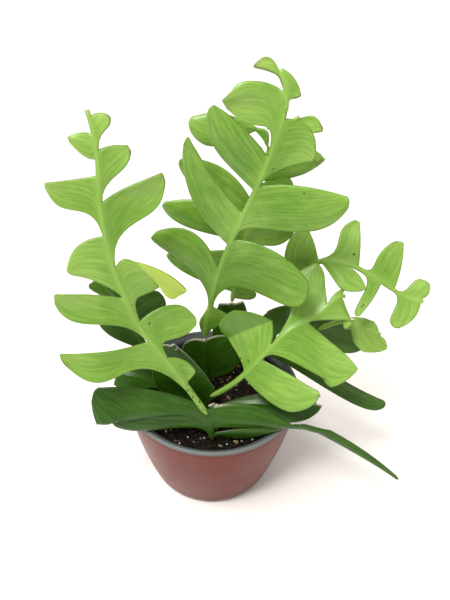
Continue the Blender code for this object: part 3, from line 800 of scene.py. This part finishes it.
def pot_shell():
    """The pot's section turned round the Z axis, its foot ring raised at each notch, and its poles closed."""
    section = pot_section()
    spokes = POT_SPOKES
    turn = np.linspace(0.0, 2 * math.pi, spokes, endpoint=False)[None]
    radius, height, inside = (section[:, i][:, None] for i in range(3))
    step = 2 * math.pi / NOTCHES
    away = abs((turn % step) - step / 2) * BASE_RADIUS
    notch = NOTCH_HEIGHT * np.clip((NOTCH_WIDTH / 2 + 0.4 - away) / 0.8, 0, 1)
    foot = (radius > BASE_RADIUS - 1.6 * FOOT_WIDTH) & (inside < 0.5)
    z = np.where(foot, np.maximum(height, notch), height)
    ring = np.stack([radius * np.cos(turn), radius * np.sin(turn), z], axis=-1)
    count = len(section) * spokes
    points = np.concatenate([ring.reshape(-1, 3), [[0, 0, 0], [0, 0, FLOOR]]])
    index = np.arange(count).reshape(len(section), spokes)
    index = np.concatenate([index, index[:, :1]], axis=1)
    quads = grid_faces(index)[:, ::-1]
    low, high = index[0], index[-1]
    caps = np.concatenate([
        np.stack([np.full(spokes, count), low[1:], low[:-1]], axis=-1),
        np.stack([np.full(spokes, count + 1), high[:-1], high[1:]], axis=-1),
    ])
    triangles = np.concatenate([quads[:, [0, 1, 2]], quads[:, [0, 2, 3]], caps])
    return points, triangles, np.concatenate([np.repeat(section[:, 2], spokes), [0.0, 1.0]])


# ---------------------------------------------------------------------------------------------------------
# Shader building blocks
# ---------------------------------------------------------------------------------------------------------


class Nodes:
    """A short way to add and join the nodes of one tree."""

    def __init__(self, tree):
        self.tree = tree

    def add(self, kind, settings=None, **inputs):
        """Add a node, set its properties and inputs; an input that is a socket is linked."""
        node = self.tree.nodes.new(kind)
        for key, value in (settings or {}).items():
            setattr(node, key, value)
        for key, value in inputs.items():
            name = key.replace("_", " ")
            socket = node.inputs[int(key[1:])] if key[0] == "i" and key[1:].isdigit() else node.inputs[name]
            if isinstance(value, bpy.types.NodeSocket):
                self.tree.links.new(value, socket)
            else:
                socket.default_value = value
        return node

    def noise(self, vector, scale, detail=3.0, roughness=0.55, distortion=0.0):
        """The value of a noise pattern."""
        node = self.add(
            "ShaderNodeTexNoise", Vector=vector, Scale=scale, Detail=detail, Roughness=roughness,
            Distortion=distortion,
        )
        return node.outputs["Fac"]

    def maths(self, operation, first, second=0.0):
        """One arithmetic step."""
        return self.add("ShaderNodeMath", {"operation": operation}, i0=first, i1=second).outputs[0]

    def ramp(self, value, low, high, start=0.0, stop=1.0):
        """A smooth change from start to stop while value goes from low to high."""
        node = self.add("ShaderNodeMapRange", {"interpolation_type": "SMOOTHSTEP"}, Value=value)
        for key, number in (("From Min", low), ("From Max", high), ("To Min", start), ("To Max", stop)):
            node.inputs[key].default_value = number
        return node.outputs[0]

    def mix(self, factor, first, second):
        """A mix of two colours."""
        node = self.add("ShaderNodeMix", {"data_type": "RGBA"})
        for socket, value in ((node.inputs[0], factor), (node.inputs[6], first), (node.inputs[7], second)):
            if isinstance(value, bpy.types.NodeSocket):
                self.tree.links.new(value, socket)
            elif isinstance(value, (int, float)):
                socket.default_value = value
            else:
                socket.default_value = (*value, 1.0)
        return node.outputs[2]

    def stretch(self, vector, scale):
        """Coordinates scaled by a different number along each axis."""
        return self.add("ShaderNodeMapping", Vector=vector, Scale=scale).outputs[0]

    def attribute(self, name):
        """A value that the mesh holds for each point."""
        return self.add("ShaderNodeAttribute", {"attribute_name": name}).outputs["Fac"]

    def surface(self):
        """Object coordinates."""
        return self.add("ShaderNodeTexCoord").outputs["Object"]


def new_material(name):
    """A material with a Principled shader: its nodes and that shader."""
    material = bpy.data.materials.new(name)
    material.use_nodes = True
    return material, Nodes(material.node_tree), material.node_tree.nodes["Principled BSDF"]


def new_group(name, inputs, outputs):
    """An empty node group with named sockets, and its input and output nodes."""
    tree = bpy.data.node_groups.new(name, "ShaderNodeTree")
    for label, kind, default in inputs:
        socket = tree.interface.new_socket(label, in_out="INPUT", socket_type=kind)
        socket.default_value = default
    for label, kind in outputs:
        tree.interface.new_socket(label, in_out="OUTPUT", socket_type=kind)
    return tree, Nodes(tree), tree.nodes.new("NodeGroupInput"), tree.nodes.new("NodeGroupOutput")


def vein_group():
    """Fine veins that run outwards along each lobe, and broad mottling, as masks and a height.

    The vein map holds lengths across the lobe, and a small share of those along it, so that a noise on it is
    drawn out into streaks.
    """
    tree, nodes, inside, outside = new_group(
        "Veins",
        [("Mottle scale", "NodeSocketFloat", 60.0)],
        [("Veins", "NodeSocketFloat"), ("Mottle", "NodeSocketFloat"), ("Height", "NodeSocketFloat")],
    )
    flat = nodes.add("ShaderNodeUVMap", {"uv_map": "veins"}).outputs[0]
    streaks = nodes.noise(flat, 45.0, 4.0, 0.6, 0.25)
    lines = nodes.noise(flat, 150.0, 2.0, 0.5, 0.1)
    surface = nodes.surface()
    mottle = nodes.add("ShaderNodeTexNoise", Vector=surface, Detail=4.0, Roughness=0.6)
    tree.links.new(inside.outputs["Mottle scale"], mottle.inputs["Scale"])
    speckle = nodes.noise(surface, 900.0, 2.0, 0.6)
    veins = nodes.maths("ADD", nodes.maths("MULTIPLY", streaks, 0.65), nodes.maths("MULTIPLY", lines, 0.35))
    height = nodes.maths("ADD", nodes.maths("MULTIPLY", veins, 0.8), nodes.maths("MULTIPLY", speckle, 0.2))
    for label, value in (("Veins", veins), ("Mottle", mottle.outputs["Fac"]), ("Height", height)):
        tree.links.new(value, outside.inputs[label])
    return tree


def spot_group():
    """Small corky spots: the middles of a few cells of a Voronoi pattern, as one mask."""
    tree, nodes, inside, outside = new_group(
        "Corky spots",
        [("Scale", "NodeSocketFloat", 120.0), ("Size", "NodeSocketFloat", 0.12)],
        [("Mask", "NodeSocketFloat")],
    )
    surface = nodes.surface()
    wobble = nodes.noise(surface, 400.0, 2.0)
    shifted = nodes.add("ShaderNodeVectorMath", {"operation": "ADD"}, i0=surface)
    small = nodes.add("ShaderNodeVectorMath", {"operation": "SCALE"}, i0=wobble)
    small.inputs["Scale"].default_value = 0.0012
    tree.links.new(small.outputs[0], shifted.inputs[1])
    cells = nodes.add("ShaderNodeTexVoronoi", Vector=shifted.outputs[0])
    tree.links.new(inside.outputs["Scale"], cells.inputs["Scale"])
    pick = nodes.add("ShaderNodeSeparateColor", Color=cells.outputs["Color"]).outputs[0]
    chosen = nodes.ramp(pick, 0.9, 0.92)
    near = nodes.maths("LESS_THAN", cells.outputs["Distance"], 0.1)
    tree.links.new(inside.outputs["Size"], near.node.inputs[1])
    tree.links.new(nodes.maths("MULTIPLY", chosen, near), outside.inputs["Mask"])
    return tree


def place_group(nodes, tree, **inputs):
    """Put a node group into a material."""
    node = nodes.tree.nodes.new("ShaderNodeGroup")
    node.node_tree = tree
    for key, value in inputs.items():
        node.inputs[key.replace("_", " ")].default_value = value
    return node


def stem_material(name, groups, middle, pale, deep, colours, roughness, young):
    """Waxy stem skin: soft streaks, mottling, a thin dark margin, spots, and a tone that follows the stem,
    with painted shading across each lobe and painted light and shade on folded flaps.
    """
    material, nodes, shader = new_material(name)
    tree = material.node_tree
    scar = tuple(colours.scar)
    veins = place_group(nodes, groups["veins"], Mottle_scale=34.0 if young else 26.0)
    spots = place_group(nodes, groups["spots"], Scale=95.0 if young else 130.0, Size=0.1)
    tone = nodes.attribute("tone")
    margin = nodes.attribute("margin")
    rib = nodes.attribute("rib")
    mottled = nodes.ramp(veins.outputs["Mottle"], 0.36, 0.66)
    streaked = nodes.ramp(veins.outputs["Veins"], 0.38, 0.64)
    base = nodes.mix(nodes.ramp(tone, 0.0, 0.5, 0.6, 0.0), middle, deep)
    base = nodes.mix(nodes.maths("MULTIPLY", mottled, 0.42 if young else 0.3), base, pale)
    base = nodes.mix(nodes.ramp(tone, 0.75, 1.15, 0.0, 0.7), base, pale)
    # Paler or deeper by bloom: the stem's paleness, each lobe's random shade, and painted shading across each
    # lobe
    bloom = nodes.attribute("bloom")
    base = nodes.mix(nodes.ramp(bloom, 0.0, 0.8, 0.0, 0.8), base, pale)
    base = nodes.mix(nodes.ramp(bloom, -0.6, 0.0, 0.8, 0.0), base, deep)
    base = nodes.mix(nodes.maths("MULTIPLY", nodes.maths("SUBTRACT", 1.0, streaked), 0.36), base, deep)
    base = nodes.mix(nodes.maths("MULTIPLY", streaked, 0.2), base, pale)
    base = nodes.mix(nodes.maths("MULTIPLY", rib, 0.3), base, pale if young else middle)
    if young:
        # Painted light and shade on folded flaps: a flap on the right side is painted pale yellow-green, as
        # light shining through it, and a flap on the left side is painted deeper, as shade
        flap = nodes.attribute("flap")
        base = nodes.mix(nodes.ramp(flap, 0.0, 1.0, 0.0, 0.6), base, (0.4, 0.52, 0.06))
        base = nodes.mix(nodes.ramp(flap, -1.0, 0.0, 0.6, 0.0), base, deep)
    base = nodes.mix(nodes.ramp(margin, 0.0, 0.3, 0.22, 0.0), base, deep)
    line = nodes.ramp(margin, 0.0, 0.1, 0.55 if young else 0.3, 0.0)
    ragged = nodes.ramp(nodes.noise(nodes.surface(), 90.0, 3.0), 0.42, 0.62, 0.25, 1.0)
    base = nodes.mix(nodes.maths("MULTIPLY", line, ragged), base, scar)
    tips = nodes.maths("MULTIPLY", nodes.ramp(tone, 1.08, 1.2), nodes.ramp(margin, 0.0, 0.5, 0.7, 0.0))
    base = nodes.mix(tips, base, scar)
    base = nodes.mix(nodes.maths("MULTIPLY", spots.outputs[0], 0.85), base, scar)
    if not young:
        base = nodes.mix(nodes.attribute("cut"), base, tuple(colours.callus))
    tree.links.new(base, shader.inputs["Base Color"])
    rough = nodes.ramp(veins.outputs["Mottle"], 0.35, 0.65, roughness + 0.1, roughness - 0.06)
    tree.links.new(nodes.maths("ADD", rough, nodes.maths("MULTIPLY", spots.outputs[0], 0.3)),
                   shader.inputs["Roughness"])
    bump = nodes.add("ShaderNodeBump", Strength=0.28, Distance=0.0005, Height=veins.outputs["Height"])
    tree.links.new(bump.outputs[0], shader.inputs["Normal"])
    shader.inputs["Specular IOR Level"].default_value = 0.4 if young else 0.28
    return material


def pot_material(colours):
    """Two-tone thin plastic: dusty red-brown outside, and grey on the rim, the inner wall and the floor.
    The outside carries painted shade low down, and the bead a painted highlight.
    """
    material, nodes, shader = new_material("pot_two_tone_plastic")
    tree = material.node_tree
    surface = nodes.surface()
    parts = nodes.add("ShaderNodeSeparateXYZ", Vector=surface)
    flat = nodes.add("ShaderNodeCombineXYZ", X=parts.outputs[0], Y=parts.outputs[1])
    radius = nodes.add("ShaderNodeVectorMath", {"operation": "LENGTH"}, i0=flat.outputs[0]).outputs["Value"]
    height = parts.outputs[2]
    dust = nodes.ramp(nodes.noise(surface, 22.0, 5.0, 0.6), 0.35, 0.75)
    fine = nodes.noise(surface, 700.0, 3.0)
    streak = nodes.noise(nodes.stretch(surface, (1.0, 1.0, 0.12)), 120.0, 4.0)
    dusty = nodes.maths("MULTIPLY", dust, 0.35)
    outside = nodes.mix(dusty, tuple(colours.pot_outside), (0.155, 0.036, 0.026))
    outside = nodes.mix(nodes.ramp(streak, 0.55, 0.8, 0.0, 0.12), outside, (0.22, 0.09, 0.07))
    # Painted shade: the outside is painted darker over its lowest 22 millimetres, towards the floor
    outside = nodes.mix(nodes.ramp(height, 0.0, 0.022, 0.45, 0.0), outside, (0.06, 0.012, 0.008))
    turn = nodes.maths("ARCTAN2", parts.outputs[1], parts.outputs[0])
    turn = nodes.maths("PINGPONG", nodes.maths("ADD", turn, math.pi), math.pi / DRAINS)
    off = nodes.maths("MULTIPLY", nodes.maths("SUBTRACT", math.pi / DRAINS, turn), DRAIN_CIRCLE * MM)
    out = nodes.maths("SUBTRACT", radius, DRAIN_CIRCLE * MM)
    away = nodes.add("ShaderNodeCombineXYZ", X=off, Y=out)
    away = nodes.add("ShaderNodeVectorMath", {"operation": "LENGTH"}, i0=away.outputs[0]).outputs["Value"]
    outside = nodes.mix(nodes.maths("LESS_THAN", away, DRAIN_RADIUS * MM), outside, tuple(colours.mix))
    inside = nodes.mix(nodes.ramp(fine, 0.4, 0.7, 0.0, 0.35), tuple(colours.pot_inside), (0.04, 0.048, 0.045))
    rim = RIM_RADIUS * MM
    bead = nodes.ramp(radius, rim - 0.0034, rim - 0.0026)
    soiled = nodes.ramp(nodes.noise(surface, 260.0, 4.0), 0.55, 0.68, 0.0, 0.6)
    soiled = nodes.maths("MULTIPLY", soiled, nodes.maths("SUBTRACT", 1.0, bead))
    inside = nodes.mix(soiled, inside, (0.02, 0.016, 0.012))
    # Painted highlight: the bead on top of the rim is painted a lighter grey than the ledge and the inner
    # wall
    inside = nodes.mix(nodes.maths("MULTIPLY", bead, 0.7), inside, (0.16, 0.172, 0.166))
    tree.links.new(nodes.mix(nodes.attribute("inside"), outside, inside), shader.inputs["Base Color"])
    tree.links.new(nodes.ramp(dust, 0.0, 1.0, 0.34, 0.48), shader.inputs["Roughness"])
    shader.inputs["Specular IOR Level"].default_value = 0.14
    shader.inputs["Sheen Weight"].default_value = 0.05
    shader.inputs["Sheen Roughness"].default_value = 0.45
    shader.inputs["Sheen Tint"].default_value = (1.0, 0.86, 0.8, 1.0)
    bump = nodes.add("ShaderNodeBump", Strength=0.2, Distance=0.0003, Height=fine)
    tree.links.new(bump.outputs[0], shader.inputs["Normal"])
    return material


def soil_material(colours):
    """Dark, damp peat with paler fibres."""
    material, nodes, shader = new_material("potting_mix")
    tree = material.node_tree
    surface = nodes.surface()
    clods = nodes.noise(surface, 320.0, 5.0, 0.65)
    fibres = nodes.noise(nodes.stretch(surface, (1.0, 0.25, 1.0)), 900.0, 3.0)
    base = nodes.mix(nodes.ramp(clods, 0.4, 0.7), tuple(colours.mix), (0.011, 0.008, 0.005))
    base = nodes.mix(nodes.ramp(fibres, 0.68, 0.78, 0.0, 0.5), base, (0.09, 0.055, 0.03))
    tree.links.new(base, shader.inputs["Base Color"])
    shader.inputs["Roughness"].default_value = 0.95
    shader.inputs["Specular IOR Level"].default_value = 0.1
    bump = nodes.add("ShaderNodeBump", Strength=0.8, Distance=0.0012, Height=clods)
    tree.links.new(bump.outputs[0], shader.inputs["Normal"])
    return material


def grain_material(name, first, second, roughness):
    """A loose grain's colour, which changes from place to place."""
    material, nodes, shader = new_material(name)
    surface = nodes.surface()
    patch = nodes.ramp(nodes.noise(surface, 420.0, 2.0), 0.35, 0.65)
    fine = nodes.noise(surface, 2500.0, 2.0)
    base = nodes.mix(patch, first, second)
    base = nodes.mix(nodes.ramp(fine, 0.5, 0.8, 0.0, 0.5), base, tuple(0.4 * value for value in first))
    material.node_tree.links.new(base, shader.inputs["Base Color"])
    shader.inputs["Roughness"].default_value = roughness
    shader.inputs["Specular IOR Level"].default_value = 0.2
    bump = nodes.add("ShaderNodeBump", Strength=0.5, Distance=0.0003, Height=fine)
    material.node_tree.links.new(bump.outputs[0], shader.inputs["Normal"])
    return material


# ---------------------------------------------------------------------------------------------------------
# Soil
# ---------------------------------------------------------------------------------------------------------


def soil_height(x, y, sizes):
    """Height of the soil's surface over its flat level: three sizes of clods as products of sine waves."""
    rolls = np.sin(x * 95 + 1.3) * np.cos(y * 83 - 0.4)
    clods = np.sin(x * 410 + 2 * np.sin(y * 190)) * np.cos(y * 370 + 1.7 * np.sin(x * 230))
    crumbs = np.sin(x * 1490 + 3 * np.sin(y * 700)) * np.cos(y * 1310 + 3 * np.sin(x * 900))
    return sizes.relief * (0.35 * rolls + 0.4 * clods + 0.25 * crumbs)


def soil_disc(sizes, radius, level):
    """The soil's crumbly top as a closed cake: rings round the Z axis raised by clods, on a flat base."""
    rings, spokes = SOIL_RINGS, SOIL_SPOKES
    r = radius * np.linspace(0.004, 1.0, rings)[:, None]
    turn = np.linspace(0, 2 * math.pi, spokes, endpoint=False)[None]
    x, y = r * np.cos(turn), r * np.sin(turn)
    fade = np.clip((radius - r) / 0.002, 0, 1)
    z = level + soil_height(x, y, sizes) * fade
    top = np.stack([x, y, z], axis=-1).reshape(-1, 3)
    depth = level - SOIL_CAKE * MM
    side = np.stack([x[-1], y[-1], np.full(spokes, depth)], axis=-1)
    middle = level + float(soil_height(0, 0, sizes))
    points = np.concatenate([top, side, [[0, 0, middle], [0, 0, depth]]])
    index = np.arange((rings + 1) * spokes).reshape(rings + 1, spokes)
    index = np.concatenate([index, index[:, :1]], axis=1)
    quads = grid_faces(index)
    crown = (rings + 1) * spokes
    first, last = index[0], index[-1]
    caps = np.concatenate([
        np.stack([np.full(spokes, crown), first[:-1], first[1:]], axis=-1),
        np.stack([np.full(spokes, crown + 1), last[1:], last[:-1]], axis=-1),
    ])
    return points, np.concatenate([quads[:, [0, 1, 2]], quads[:, [0, 2, 3]], caps])


def scatter(rng, count, radius, stems, sizes):
    """Places of loose grains on the soil: even over the disc, and none inside a stem's foot."""
    r = radius * np.sqrt(rng.uniform(0, 1, count * 2))
    turn = rng.uniform(0, 2 * math.pi, count * 2)
    x, y = r * np.cos(turn), r * np.sin(turn)
    feet = np.array([stem.place[:2] for stem in stems if stem.place[2] < 10]) * MM
    clear = np.hypot(x[:, None] - feet[:, 0], y[:, None] - feet[:, 1]).min(1) > FOOT_CLEARANCE * MM
    x, y = x[clear][:count], y[clear][:count]
    return np.stack([x, y, soil_height(x, y, sizes)], axis=-1)


def grain_shapes(rng, places, low, high, flat):
    """Grains as lumpy, stretched octahedra, each side cut in four: unit directions times random lengths.

    A flat grain's random turn is held near level.
    """
    corners = np.array([[1, 0, 0], [0, 1, 0], [-1, 0, 0], [0, -1, 0], [0, 0, 1], [0, 0, -1]], float)
    sides = np.array([[0, 1, 4], [1, 2, 4], [2, 3, 4], [3, 0, 4], [1, 0, 5], [2, 1, 5], [3, 2, 5], [0, 3, 5]])
    edges = {}
    points = list(corners)
    faces = []
    for a, b, c in sides:
        mids = []
        for p, q in ((a, b), (b, c), (c, a)):
            key = (min(p, q), max(p, q))
            if key not in edges:
                edges[key] = len(points)
                middle = corners[p] + corners[q]
                points.append(middle / np.linalg.norm(middle))
            mids.append(edges[key])
        ab, bc, ca = mids
        faces += [[a, ab, ca], [ab, b, bc], [ca, bc, c], [ab, bc, ca]]
    ball, faces = np.array(points), np.array(faces)
    count = len(places)
    size = rng.uniform(low, high, count)[:, None, None] * rng.uniform(0.7, 1.3, (count, 1, 3))
    size[..., 2] *= flat
    lumps = rng.uniform(0.72, 1.18, (count, len(ball), 1))
    turn = rng.normal(size=(count, 3, 3))
    turn, _ = np.linalg.qr(turn + np.eye(3) * (2.5 if flat < 0.6 else 0.0))
    turn *= np.sign(np.linalg.det(turn))[:, None, None]
    shapes = (ball[None] * lumps * size) @ np.swapaxes(turn, 1, 2)
    all_points = (shapes + places[:, None]).reshape(-1, 3)
    all_faces = (faces[None] + len(ball) * np.arange(count)[:, None, None]).reshape(-1, 3)
    return all_points, all_faces


def stem_feet():
    """The stems that stand in the soil."""
    return [stem for name, stem in STEMS.items() if name.startswith("cutting")]


# ---------------------------------------------------------------------------------------------------------
# Studio
# ---------------------------------------------------------------------------------------------------------

CAMERA_PLACE = (0.0081, -0.3748, 0.4589)
CAMERA_PITCH = 36.3
CAMERA_ROLL = 1.98
SENSOR = 36.0
LENS = 36.0
FLOOR_HALF = 4.0
FLOOR_DROP = 0.0002


def make_camera():
    """The camera looks down at the plant: its pitch below the horizon, a slight roll, and its lens."""
    data = bpy.data.cameras.new("camera")
    data.sensor_width = SENSOR
    data.lens = LENS
    data.clip_start, data.clip_end = 0.01, 20.0
    camera = bpy.data.objects.new("camera", data)
    pitch = Matrix.Rotation(math.radians(90 - CAMERA_PITCH), 4, "X")
    roll = Matrix.Rotation(math.radians(CAMERA_ROLL), 4, "Z")
    camera.matrix_world = Matrix.Translation(CAMERA_PLACE) @ pitch @ roll
    bpy.context.scene.collection.objects.link(camera)
    bpy.context.scene.camera = camera


def make_light(name, place, target, size, power, tint):
    """A square soft light at place that shines at target."""
    data = bpy.data.lights.new(name, "AREA")
    data.shape = "SQUARE"
    data.size = size
    data.energy = power
    data.color = tint
    light = bpy.data.objects.new(name, data)
    offset = np.array(target) - np.array(place)
    light.matrix_world = Matrix.Translation(place) @ look_along(offset)
    bpy.context.scene.collection.objects.link(light)


def make_sun(name, from_where, softness, strength, tint):
    """Even light from a direction, with an angle in degrees that softens its shadows."""
    data = bpy.data.lights.new(name, "SUN")
    data.angle = math.radians(softness)
    data.energy = strength
    data.color = tint
    light = bpy.data.objects.new(name, data)
    light.matrix_world = look_along(-np.array(from_where))
    bpy.context.scene.collection.objects.link(light)


def look_along(offset):
    """The rotation that turns -Z to a direction, with Y upwards."""
    back = -offset / np.linalg.norm(offset)
    right = np.cross([0.0, 0.0, 1.0], back)
    right /= np.linalg.norm(right)
    up = np.cross(back, right)
    return Matrix(np.stack([right, up, back], axis=1).tolist()).to_4x4()


# ---------------------------------------------------------------------------------------------------------
# Operators
# ---------------------------------------------------------------------------------------------------------


def shared_groups():
    """The node groups that the stem materials share, built once."""
    if "Veins" not in bpy.data.node_groups:
        vein_group()
        spot_group()
    return {"veins": bpy.data.node_groups["Veins"], "spots": bpy.data.node_groups["Corky spots"]}


class PLANT_OT_pot(bpy.types.Operator):
    """Turn the thin two-tone pot, with its bead, ledge and notched foot"""

    bl_idname = "plant.pot"
    bl_label = "Turn pot"

    def execute(self, context):
        points, triangles, inside = pot_shell()
        pot = new_mesh("pot_shell", points * MM, triangles)
        pot.data.set_sharp_from_angle(angle=math.radians(38))
        set_attribute(pot, "inside", inside)
        pot.data.materials.append(pot_material(context.scene.plant_colours))
        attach(pot, BODY)
        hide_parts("pot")
        return {"FINISHED"}


class PLANT_OT_soil(bpy.types.Operator):
    """Lay the crumbly potting mix, with its loose bark and pale grains"""

    bl_idname = "plant.soil"
    bl_label = "Lay soil"

    def execute(self, context):
        sizes = context.scene.plant_sizes
        colours = context.scene.plant_colours
        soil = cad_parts["soil"]
        material = soil_material(colours)
        soil.data.materials.clear()
        soil.data.materials.append(material)
        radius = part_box("soil")[1].x - WALL_CLEARANCE * MM
        top = new_mesh("soil_surface", *soil_disc(sizes, radius, SOIL_TOP))
        top.data.materials.append(material)
        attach(top, BODY)
        rng = np.random.default_rng(11)
        kinds = (
            ("soil_crumbs", 3.2, 0.3, 0.8, 0.9, (0.005, 0.004, 0.003), (0.017, 0.012, 0.008), 0.95),
            ("bark_chips", 0.5, 0.4, 0.95, 0.4, (0.16, 0.095, 0.045), (0.05, 0.028, 0.014), 0.85),
            ("pale_grains", 0.14, 0.25, 0.55, 0.9, (0.55, 0.5, 0.42), (0.36, 0.3, 0.21), 0.9),
        )
        for name, amount, low, high, flat, first, second, rough in kinds:
            spread = radius - GRAIN_CLEARANCE * MM
            places = scatter(rng, int(sizes.grains * amount), spread, stem_feet(), sizes)
            places[:, 2] += SOIL_TOP + low * sizes.grain * 0.4
            points, faces = grain_shapes(rng, places, low * sizes.grain, high * sizes.grain, flat)
            grains = new_mesh(name, points, faces, smooth=name == "pale_grains")
            grains.data.materials.append(grain_material(name, first, second, rough))
            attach(grains, BODY)
        return {"FINISHED"}


def grow(names, colours, sizes, young):
    """Make the stems of one kind, each standing for its frame node, and the specks or knobs on them."""
    groups = shared_groups()
    tones = (colours.young, colours.young_pale, colours.young_deep)
    if not young:
        tones = (colours.old, colours.old_pale, colours.old_deep)
    material = stem_material(
        "young_stem_skin" if young else "old_stem_skin", groups, *map(tuple, tones), colours,
        colours.gloss if young else colours.gloss - 0.06, young,
    )
    marks = {}
    for name in names:
        bloom = colours.young_spread * PALENESS.get(name, 0.0)
        skin, found = make_stem(name, STEMS[name], sizes, bloom, material)
        marks.update(found)
        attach(skin, BODY)
        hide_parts(name)
    tone = tuple(colours.scar if young else colours.callus)
    places = np.array(list(marks.values()))
    size = np.array([mark[3] for mark in marks]) * MM
    points, faces = grain_shapes(np.random.default_rng(5), places, size, size, 0.6)
    points = np.clip(points, np.array(CAD_BOX[0]), np.array(CAD_BOX[1]))
    lumps = new_mesh("corky_specks" if young else "callus_knobs", points, faces)
    deep = tuple(0.45 * value for value in tone)
    lumps.data.materials.append(grain_material(lumps.name, tone, deep, 0.75))
    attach(lumps, BODY)


class PLANT_OT_cuttings(bpy.types.Operator):
    """Grow the old rooted cuttings"""

    bl_idname = "plant.cuttings"
    bl_label = "Grow cuttings"

    def execute(self, context):
        names = [name for name in STEMS if name.startswith("cutting")]
        grow(names, context.scene.plant_colours, context.scene.plant_sizes, False)
        return {"FINISHED"}


class PLANT_OT_shoots(bpy.types.Operator):
    """Grow the young lobed shoots"""

    bl_idname = "plant.shoots"
    bl_label = "Grow shoots"

    def execute(self, context):
        names = [name for name in STEMS if name.startswith("shoot")]
        grow(names, context.scene.plant_colours, context.scene.plant_sizes, True)
        return {"FINISHED"}


class PLANT_OT_stage(bpy.types.Operator):
    """Set up the floor, the lights, the sky and the camera"""

    bl_idname = "plant.stage"
    bl_label = "Set stage"

    def execute(self, context):
        colours = context.scene.plant_colours
        corners = FLOOR_HALF * np.array([[-1, -1, 0], [1, -1, 0], [1, 1, 0], [-1, 1, 0]])
        floor = new_mesh("floor", corners - [0, 0, FLOOR_DROP], np.array([[0, 1, 2, 3]]))
        material, _, shader = new_material("floor_paint")
        shader.inputs["Base Color"].default_value = (*colours.floor, 1.0)
        shader.inputs["Roughness"].default_value = 0.6
        floor.data.materials.append(material)
        world = bpy.data.worlds.new("studio")
        world.use_nodes = True
        sky = world.node_tree.nodes["Background"]
        sky.inputs["Color"].default_value = (1.0, 0.99, 0.975, 1.0)
        sky.inputs["Strength"].default_value = 0.68
        context.scene.world = world
        make_sun("window", (-0.5, -0.08, 1.0), 40.0, 2.05, (1.0, 0.985, 0.96))
        make_light("ceiling", (-0.22, -0.42, 0.95), (0, 0, 0.2), 0.2, 6.0, (1.0, 1.0, 0.99))
        make_camera()
        context.scene.view_settings.view_transform = "Standard"
        return {"FINISHED"}


class PLANT_PT_panel(bpy.types.Panel):
    """Sizes, colours and steps of the potted plant"""

    bl_label = "Potted plant"
    bl_space_type = "VIEW_3D"
    bl_region_type = "UI"
    bl_category = "Plant"

    def draw(self, context):
        layout = self.layout
        for group in (context.scene.plant_sizes, context.scene.plant_colours):
            box = layout.box()
            for key in group.__annotations__:
                box.prop(group, key)
        for step in STEPS:
            layout.operator(step.bl_idname)


STEPS = (PLANT_OT_pot, PLANT_OT_soil, PLANT_OT_cuttings, PLANT_OT_shoots, PLANT_OT_stage)
CLASSES = (PlantSizes, PlantColours, *STEPS, PLANT_PT_panel)


def register():
    for cls in CLASSES:
        bpy.utils.register_class(cls)
    bpy.types.Scene.plant_sizes = bpy.props.PointerProperty(type=PlantSizes)
    bpy.types.Scene.plant_colours = bpy.props.PointerProperty(type=PlantColours)


def unregister():
    del bpy.types.Scene.plant_colours
    del bpy.types.Scene.plant_sizes
    for cls in reversed(CLASSES):
        bpy.utils.unregister_class(cls)


def main():
    register()
    bpy.ops.plant.pot()
    bpy.ops.plant.soil()
    bpy.ops.plant.cuttings()
    bpy.ops.plant.shoots()
    bpy.ops.plant.stage()


if __name__ == "__main__":
    main()
